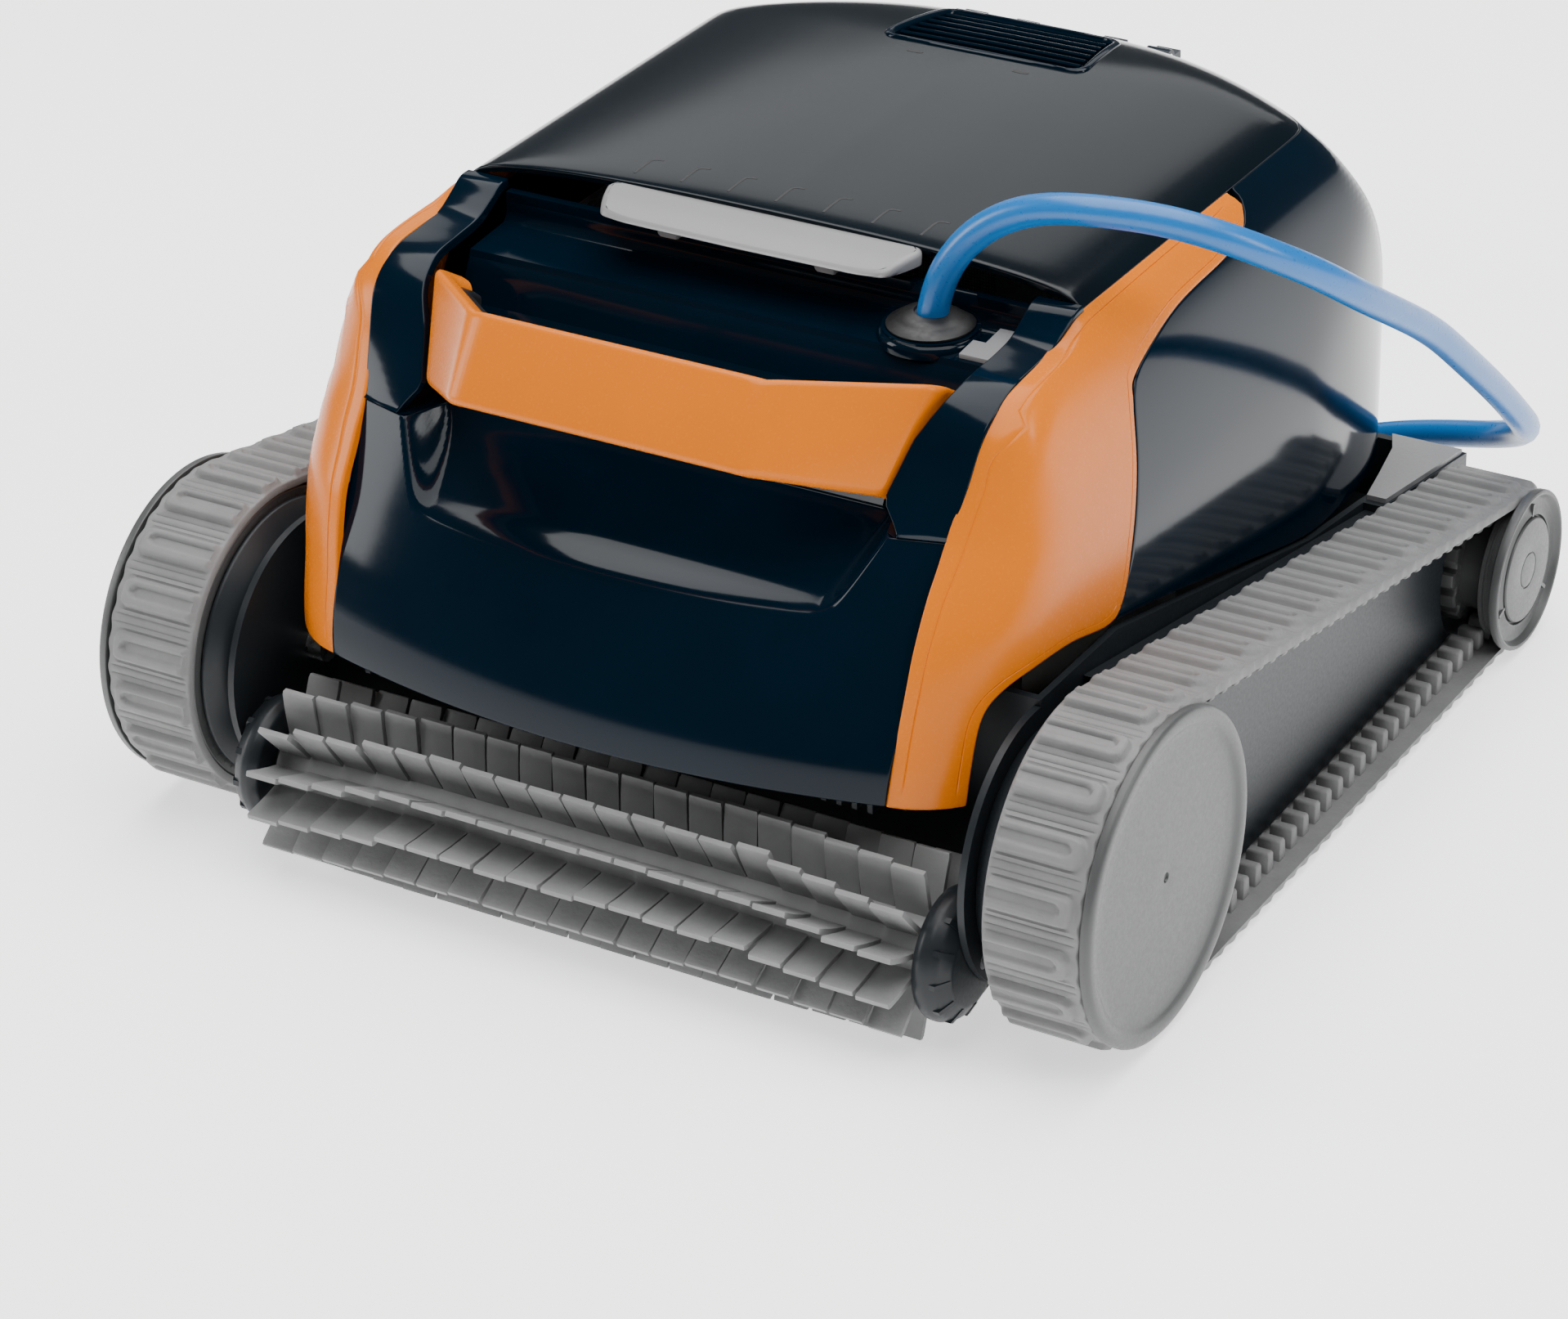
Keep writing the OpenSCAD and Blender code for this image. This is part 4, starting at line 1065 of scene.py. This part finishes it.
def grille():
    """Raised lip, dark well and sloping slats of the outlet."""
    s = Solid()
    outline = round_outline(GRILLE, 7, 6)
    outline = resample(outline + outline[:1], 96)[:-1]
    centre = np.array([0.0, 260.0])

    def ring(grow, up):
        pts = []
        for p in outline:
            d = p - centre
            q = p + d / np.linalg.norm(d) * grow
            z = lid_point(q[0], q[1])[2]
            pts.append((q[0], q[1], float(z) + up))
        return pts
    rings = [ring(2.6, -0.3), ring(2.3, 0.5), ring(1.5, 0.95), ring(0.4, 1.0), ring(-0.5, 0.6),
             ring(-1.0, -0.2), ring(-1.4, -1.4), ring(-1.4, -2.2)]
    s.grid(rings, close_cols=True)
    well = Solid()
    well.grid([ring(-0.6, -1.2), ring(-0.9, -7), ring(-0.9, -8), ring(0.4, -8), ring(0.4, -1.2)],
              close_rows=True, close_cols=True)
    well.capped([ring(-0.7, -7.4), ring(-0.7, -8.2)])
    put("outlet_well", well, "black", "lid", ())
    slots = 7
    y0, y1 = 239.6, 279.6
    step = (y1 - y0) / slots
    for k in range(slots + 1):
        y = y0 + k * step
        half = 41 - 6 * (y - 238) / 43 - 2.4
        xs = np.linspace(-half, half, 22)
        z = lid_point(xs, np.full_like(xs, y))[:, 2]
        rows = []
        for x, h in zip(xs, z):
            rows.append([(x, y - 1.1, h - 2.0), (x, y - 1.25, h - 0.5), (x, y - 0.7, h + 0.1),
                         (x, y + 0.35, h - 0.1), (x, y + 0.9, h - 0.7), (x, y + 1.5, h - 2.0)])
        s.capped(rows)
    put("outlet_grille_slats", s, "navy", "lid", ("outlet_grille",))
    # Thin black caps sitting just proud of the lid: painted shade standing in for the dark inside of two
    # slots, which are not cut.
    w = Solid()
    for x in (-22.0, 22.0):
        ring = [(px, py, float(lid_point(px, py)[2])) for px, py in slot_ring(x, 227.5, 3.4, 1.1, 0.6)]
        w.capped([[(px, py, z + up) for px, py, z in ring] for up in (-0.6, 0.07)])
    put("lid_slots_painted_shade", w, "black", "lid", ())


for hand in (1, -1):
    side_panel(hand)
    side_shell(hand)
rear_cover()
lid_cover()
ticks()
grille()


# ---------------------------------------------------------------- front: cover, handle, pillars, deck, latch
def height_shell(P, thick, edge=0.5):
    """Shell behind a grid of points, with normals from the grid itself."""
    du = np.gradient(P, axis=1)
    dv = np.gradient(P, axis=0)
    N = np.cross(du, dv)
    N /= np.maximum(np.linalg.norm(N, axis=-1, keepdims=True), 1e-9)
    if N[..., 1].mean() > 0:
        N = -N
    return shell_piece(P, N, thick, edge)


COVER_R = smooth_table([(83, 425), (88, 424.6), (111, 417.5), (137, 406), (166.4, 392)])
SCOOP = smooth_table([(138, -26), (141, -21), (145, -14), (150, -6), (156, 2.5), (162, 9), (166.4, 12)])


def cover_y(X, Z):
    """Front cover with the hand scoop sunk into its upper part."""
    Y = 374 - np.sqrt(COVER_R(Z) ** 2 - X ** 2)
    reach = 84 + (Z - 140) * 0.5
    w = np.clip((reach - np.abs(X)) / 9.0, 0, 1)
    rise = np.clip((Z - 138.6) / 6.0, 0, 1)
    w, rise = w * w * (3 - 2 * w), rise * rise * (3 - 2 * rise)
    return Y + (np.maximum(SCOOP(Z), Y) - Y) * w * rise


def front_cover():
    zs = np.sort(np.r_[83.7, 84.4, np.linspace(86, 134, 16), np.linspace(136, 165, 30), 165.8, 166.3])
    side = np.r_[np.linspace(0, 0.6, 14), np.linspace(0.62, 0.9, 34), np.linspace(0.92, 0.985, 6), 0.994, 1.0]
    us = np.r_[-side[::-1], side[1:]]
    half = 111.3 + (zs - 83) * (117.0 - 111.3) / 83.4
    X = us[None, :] * half[:, None]
    Z = np.broadcast_to(zs[:, None], X.shape)
    P = np.stack([X, cover_y(X, Z), Z], axis=-1)
    put("front_cover_skin", height_shell(P, COVER_WALL, 0.5), "navy", "hull", ("front_cover",))


def band(outer, inner, z0, z1, corner, turn, lift=None):
    """Bar between two matching plan lines, with rounded long edges, tilted about the cross axis."""
    outer, inner = np.array(outer, float), np.array(inner, float)
    rows = []
    c, s = math.cos(math.radians(turn)), math.sin(math.radians(turn))
    for o, i in zip(outer, inner):
        wide = np.linalg.norm(o - i)
        t = (i - o) / wide
        ring = []
        for (au, av, cu, cv) in ((0, 0, 1, 1), (1, 0, -1, 1), (1, 1, -1, -1), (0, 1, 1, -1)):
            r = min(corner, 0.45 * wide)
            cx, cz = au * wide + cu * r, (z0 if av == 0 else z1) + cv * r
            base = {(0, 0): math.pi, (1, 0): 1.5 * math.pi, (1, 1): 0.0, (0, 1): 0.5 * math.pi}[(au, av)]
            for k in range(5):
                a = base + 0.5 * math.pi * k / 4
                ring.append((cx + r * math.cos(a), cz + r * math.sin(a)))
        row = []
        for d, z in ring:
            p = o + t * d
            if lift:
                share = (z - z0) / (z1 - z0)
                w = min(max((abs(p[0]) - 57.0) / 48.6, 0.0), 1.0)
                p = np.array([math.copysign(abs(p[0]) - w * (12.8 - 8.8 * share), p[0]) if w > 0 else p[0],
                              p[1]])
                z += lift(abs(p[0]), share)
            row.append((p[0], p[1] * c - z * s, p[1] * s + z * c))
        rows.append(row)
    sol = Solid()
    sol.capped(rows)
    return sol


def plan_line(half, radius, steps=9):
    """Mirrored plan line with rounded corners from its right half."""
    pts = [(x, y) for x, y in half] + [(-x, y) for x, y in half[::-1]]
    return rounded(pts, radius, steps)


def dense(points, parts=6):
    """The same line with every stretch cut into equal parts."""
    out = []
    for a, b in zip(points[:-1], points[1:]):
        for k in range(parts):
            out.append((a[0] + (b[0] - a[0]) * k / parts, a[1] + (b[1] - a[1]) * k / parts))
    out.append(points[-1])
    return out


def handle():
    outer = plan_line([(105.6, -76), (105.6, -93), (57, -134)], 7)
    inner = plan_line([(97.4, -76), (97.4, -89), (53.5, -126)], 7)
    def lift(ax, share):
        w = min(max((ax - 57.0) / 44.0, 0.0), 1.0)
        return w * (7.6 + 6.4 * share)
    bar = band(dense(outer), dense(inner), 144.2, 176.8, 2.6, HANDLE_TURN, lift)
    put("handle_skin", bar, "orange", "hull", ("handle",))
    outer = plan_line([(96.6, -77), (96.6, -89), (53, -125.6)], 6)
    inner = plan_line([(91.4, -77), (91.4, -85), (50.4, -119.4)], 6)
    lining = band(dense(outer), dense(inner), 146.2, 174.8, 1.2, HANDLE_TURN, lift)
    put("handle_lining", lining, "black", "hull", ("handle_liner",))
    c, d = math.cos(math.radians(HANDLE_TURN)), math.sin(math.radians(HANDLE_TURN))
    # Thin black caps sitting just proud of the handle top: painted shade standing in for the dark inside of
    # two slots, which are not cut.
    s = Solid()
    for x in (-38.0, 38.0):
        s.capped([[(px, py * c - z * d, py * d + z * c) for px, py in slot_ring(x, -128.0, 3.6, 1.1, 0.5)]
                  for z in (176.8 - 1.0, 176.8 + 0.14)])
    put("handle_slots_painted_shade", s, "black", "hull", ())


def swept(front, inner_gap, x0, x1, corner, bow=None):
    """Slab along a side-view line, from x0 to x1 (numbers or functions of height)."""
    line = through([(0, y, z) for y, z in front], 5)[:, 1:]
    t = np.gradient(line, axis=0)
    t /= np.linalg.norm(t, axis=1, keepdims=True)
    n = np.stack([-t[:, 1], t[:, 0]], axis=1)
    sol, rows = Solid(), []
    for p, m in zip(line, n):
        a = x0(p[1]) if callable(x0) else x0
        b = x1(p[1]) if callable(x1) else x1
        ring = []
        for k in range(6):
            w = 0.5 * math.pi * k / 5
            ring.append((a + corner * (1 - math.cos(w)), corner * (1 - math.sin(w))))
        for k in range(6):
            w = 0.5 * math.pi * k / 5
            ring.append((b - corner * (1 - math.sin(w)), corner * (1 - math.cos(w))))
        ring += [(b, inner_gap), (a, inner_gap)]
        rows.append([(x, p[0] - m[0] * d + (bow(x, p[1]) if bow else 0.0), p[1] - m[1] * d) for x, d in ring])
    sol.capped(rows)
    return sol


def pillars():
    front = [(-2.6, 167.4), (0, 170.6), (7, 184.6), (14, 198), (20, 204.6), (27, 208.3), (36, 211), (50, 212),
             (61, 213.2), (69, 216.6), (76, 220.2), (81.4, 220.6)]
    for side in (1, -1):
        name = HAND[side]
        s = swept(front, 3.4, lambda z: float(np.interp(z, (167, 171, 177, 195, 206, 212),
                                                        (100, 97, 92, 97, 103, 106.4))),
                  lambda z: float(SEAM_X(z)) - 0.5, 0.8,
                  lambda x, z: (376.2 - math.sqrt(392 ** 2 - x * x)) * min(max((200 - z) / 33.0, 0.0), 1.0))
        put("pillar_skin_" + name, s, "navy", "hull", ("front_pillar_" + name,), side)


def deck():
    profile = [(13.4, 166.6), (22, 167.6), (31, 170.6), (39, 176.4), (45, 185), (49, 194.6), (52.4, 201.4),
               (57, 204.4), (66, 205.4), (74, 206.2), (77, 208.6), (78, 213.4), (79.6, 216.6), (81.4, 217)]
    s = swept(profile, 2.6, -105.6, 105.6, 0.6)
    put("deck_skin", s, "navy", "hull", ())
    b = Solid()
    rows = []
    for radius, z in ((18.6, 203.0), (18.4, 205.6), (17.6, 207.0), (16.4, 207.6), (15.6, 207.6),
                      (15.0, 206.0), (12, 206.0)):
        rows.append([(72.5 + radius * math.cos(a),
                      68.5 + radius * math.sin(a) * (0.78 if math.sin(a) > 0 else 1), z)
                     for a in (2 * math.pi * k / 72 for k in range(72))])
    b.capped(rows)
    put("deck_boss", b, "navy", "hull", ())


def ledge():
    """Dark strip that joins the cover's top edge to the deck."""
    xs = np.linspace(-105.4, 105.4, 61)
    rows = []
    for x in xs:
        y0 = min(float(cover_y(x, 166.2)) + 1.0, 13.4)
        rows.append([(x, y0, 166.6), (x, 15.0, 167.4), (x, 15.0, 165.0), (x, y0, 164.6)])
    s = Solid()
    s.capped(rows)
    put("deck_ledge", s, "navy", "hull", ())


def loop_walls():
    """Side walls of the chassis that fill the room inside each track, between the front and rear wheels."""
    top = [(y, 113.6 - 0.185 * (y - 10)) for y in (36, 80, 130, 180, 230, 268)]
    front = [(58.2 * math.cos(a), FRONT_R + 58.2 * math.sin(a)) for a in np.radians(np.linspace(-68, 54, 26))]
    rear = [(WHEELBASE + 31 * math.cos(a), REAR_R + 31 * math.sin(a))
            for a in np.radians(np.linspace(132, 232, 18))]
    outline = np.array(front + top + rear)
    low = np.array([outline[:, 0].mean(), 60.0])
    t = np.roll(outline, -1, axis=0) - np.roll(outline, 1, axis=0)
    t /= np.linalg.norm(t, axis=1, keepdims=True)
    n = np.stack([t[:, 1], -t[:, 0]], axis=1)
    n *= np.sign(((low - outline) * n).sum(axis=1).mean())
    for side in (1, -1):
        s, rows = Solid(), []
        for x, inset in ((149.2, 0.6), (149.6, 0.0), (175.4, 0.0), (176.6, 0.3), (177.2, 1.2)):
            rows.append([(x, y, z) for y, z in outline + n * inset])
        s.capped(rows)
        put("chassis_loop_wall_" + HAND[side], s, "slate", "hull", (), side, angle=30)


def gland():
    profile = [(8.6, -4.4), (9.0, -0.4), (14.6, 0.0), (15.4, 0.3), (15.5, 0.9), (14.4, 1.9), (12.4, 2.7),
               (11.0, 3.3), (10.4, 3.9), (8.2, 4.4),
               (6.6, 4.9), (5.9, 5.0), (5.45, 4.4)]
    s, rows = Solid(), []
    path = through([(72.5, 68.5, 203.6), (72.5, 68.5, 208.5), (72.6, 68.5, 214), (74.1, 68.8, 221.4),
                    (78.8, 69.6, 233), (86.3, 70.9, 243)], 16)
    run = np.r_[0, np.cumsum(np.linalg.norm(np.diff(path, axis=0), axis=1))]

    def along(d):
        return np.array([np.interp(d, run, path[:, k]) for k in range(3)])
    for r, h in profile:
        at = h + 4.4
        p = along(at)
        q = along(at + 0.5) - along(max(at - 0.5, 0))
        q /= np.linalg.norm(q)
        e = np.cross(q, [0, 1, 0])
        e /= np.linalg.norm(e)
        f = np.cross(q, e)
        rows.append([tuple(p + r * (math.cos(a) * e + math.sin(a) * f))
                     for a in (2 * math.pi * k / 60 for k in range(60))])
    s.capped(rows)
    put("gland_relief", s, "black_rubber", "hull", ("cable_gland",))


def latch():
    outline = [(0, 61.6), (46, 62.2), (57, 64.0), (60.4, 71), (63.2, 79.6), (60.6, 84.0), (0, 85.4)]
    pts = outline + [(-x, y) for x, y in outline[::-1][1:-1]]
    ring = np.array(round_outline(pts, 3.0, 5))
    keep = [0]
    for i in range(1, len(ring)):
        if np.linalg.norm(ring[i] - ring[keep[-1]]) > 1e-3:
            keep.append(i)
    ring = ring[keep]
    t = np.roll(ring, -1, axis=0) - np.roll(ring, 1, axis=0)
    t /= np.linalg.norm(t, axis=1, keepdims=True)
    n = np.stack([-t[:, 1], t[:, 0]], axis=1)

    def top(y):
        return 228.4 - np.clip((80 - y) / 18.0, 0, 1) ** 2 * 4.4
    s, rows = Solid(), []
    for inset, drop, low in ((0.8, 0, 1), (0.2, 0, 0.4), (0, 2.2, 0), (0.15, 1.3, 0), (0.5, 0.6, 0),
                             (1.1, 0.2, 0), (2.0, 0, 0)):
        q = ring + n * inset
        if low:
            rows.append([(x, y, 223.0 + (0 if low == 1 else 0.3)) for x, y in q])
        else:
            rows.append([(x, y, max(float(top(y)) - drop, 223.6)) for x, y in q])
    s.grid(rows, close_cols=True)
    s.fan(rows[0])
    inner = ring + n * 2.0
    m = len(inner)
    lines = []
    for x in np.linspace(inner[:, 0].min() + 0.3, inner[:, 0].max() - 0.3, 60):
        hits = []
        for k in range(m):
            a, b = inner[k], inner[(k + 1) % m]
            if (a[0] - x) * (b[0] - x) <= 0 and abs(a[0] - b[0]) > 1e-9:
                hits.append(a[1] + (b[1] - a[1]) * (x - a[0]) / (b[0] - a[0]))
        lo, hi = min(hits), max(hits)
        lines.append([(x, y, float(top(y))) for y in np.linspace(lo, hi, 12)])
    s.grid(lines)
    for x in (-31.5, 31.5):
        rows = []
        for z, y0, y1 in ((218.4, 68.0, 73.6), (219.4, 67.2, 74.6), (224, 66.4, 75.4)):
            w = 3.6 + (z - 218.4) * 0.25
            rows.append([(x - w, y0 + 0.6, z), (x - w + 0.6, y0, z), (x + w - 0.6, y0, z),
                         (x + w, y0 + 0.6, z), (x + w, y1 - 0.6, z), (x + w - 0.6, y1, z),
                         (x - w + 0.6, y1, z), (x - w, y1 - 0.6, z)])
        s.capped(rows)
    put("latch_skin", s, "pale", "latch", ("latch",), angle=50)


front_cover()
handle()
pillars()
deck()
ledge()
loop_walls()
gland()
latch()


# ---------------------------------------------------------------- finishes of the CAD parts that show
FINISH = {
    "slate": "chassis brush_shroud",
    "pale": "rear_plates gland_plate",
    "navy": "rear_panel deck",
    "black": "brush_core brush_caps pump_motor outlet_duct connector",
    "steel": "brush_pins front_axles rear_axles hinge_pins latch_pin pan_screws",
    "white": "impeller filter_basket",
    "mesh": "filter_mesh",
    "black_rubber": "intake_flap_front intake_flap_rear coil_tie",
}
LOOK_OF = {node: look for look, nodes in FINISH.items() for node in nodes.split()}
for name, node in NODES.items():
    look = MAT[LOOK_OF.get(name, "slate")]
    if not node.material_slots:
        node.data.materials.append(look)
    for slot in node.material_slots:
        slot.material = look


# ---------------------------------------------------------------- floor, world and lamps
def floor():
    mesh = bpy.data.meshes.new("floor")
    size, n = 9.0, 12
    verts = [((i / n - 0.5) * size, (j / n - 0.5) * size, -0.0002) for j in range(n + 1)
             for i in range(n + 1)]
    faces = [(j * (n + 1) + i, j * (n + 1) + i + 1, (j + 1) * (n + 1) + i + 1, (j + 1) * (n + 1) + i)
             for j in range(n) for i in range(n)]
    mesh.from_pydata(verts, [], faces)
    m, tree, shader = node_material("floor_paper")
    shader.inputs["Base Color"].default_value = (0.93, 0.93, 0.93, 1)
    soft = noise(tree, 30.0, 3.0)
    tree.links.new(span(tree, soft.outputs["Fac"], 0.75, 0.85), shader.inputs["Roughness"])
    shader.inputs["Specular IOR Level"].default_value = 0.1
    shader.inputs["Emission Color"].default_value = (1, 1, 1, 1)
    shader.inputs["Emission Strength"].default_value = 1.1
    mesh.materials.append(m)
    place("floor", mesh)


def world():
    w = bpy.data.worlds.new("studio")
    w.use_nodes = True
    w.node_tree.nodes["Background"].inputs["Color"].default_value = (1, 1, 1, 1)
    w.node_tree.nodes["Background"].inputs["Strength"].default_value = 0.16
    bpy.context.scene.world = w


floor()
world()
area_light("top_soft", (0.15, 0.1, 2.1), (0.0, 0.0, 0.0), (3.2, 2.4), 135)
area_light("back_soft", (-1.55, 2.7, 1.7), (0.0, 0.1, 0.2), (3.4, 0.9), 13)
area_light("left_soft", (-2.0, -1.0, 0.9), (0.0, 0.0, 0.12), (0.7, 1.3), 26)
area_light("right_soft", (2.0, 0.3, 1.1), (0.0, 0.0, 0.12), (0.5, 1.0), 16)
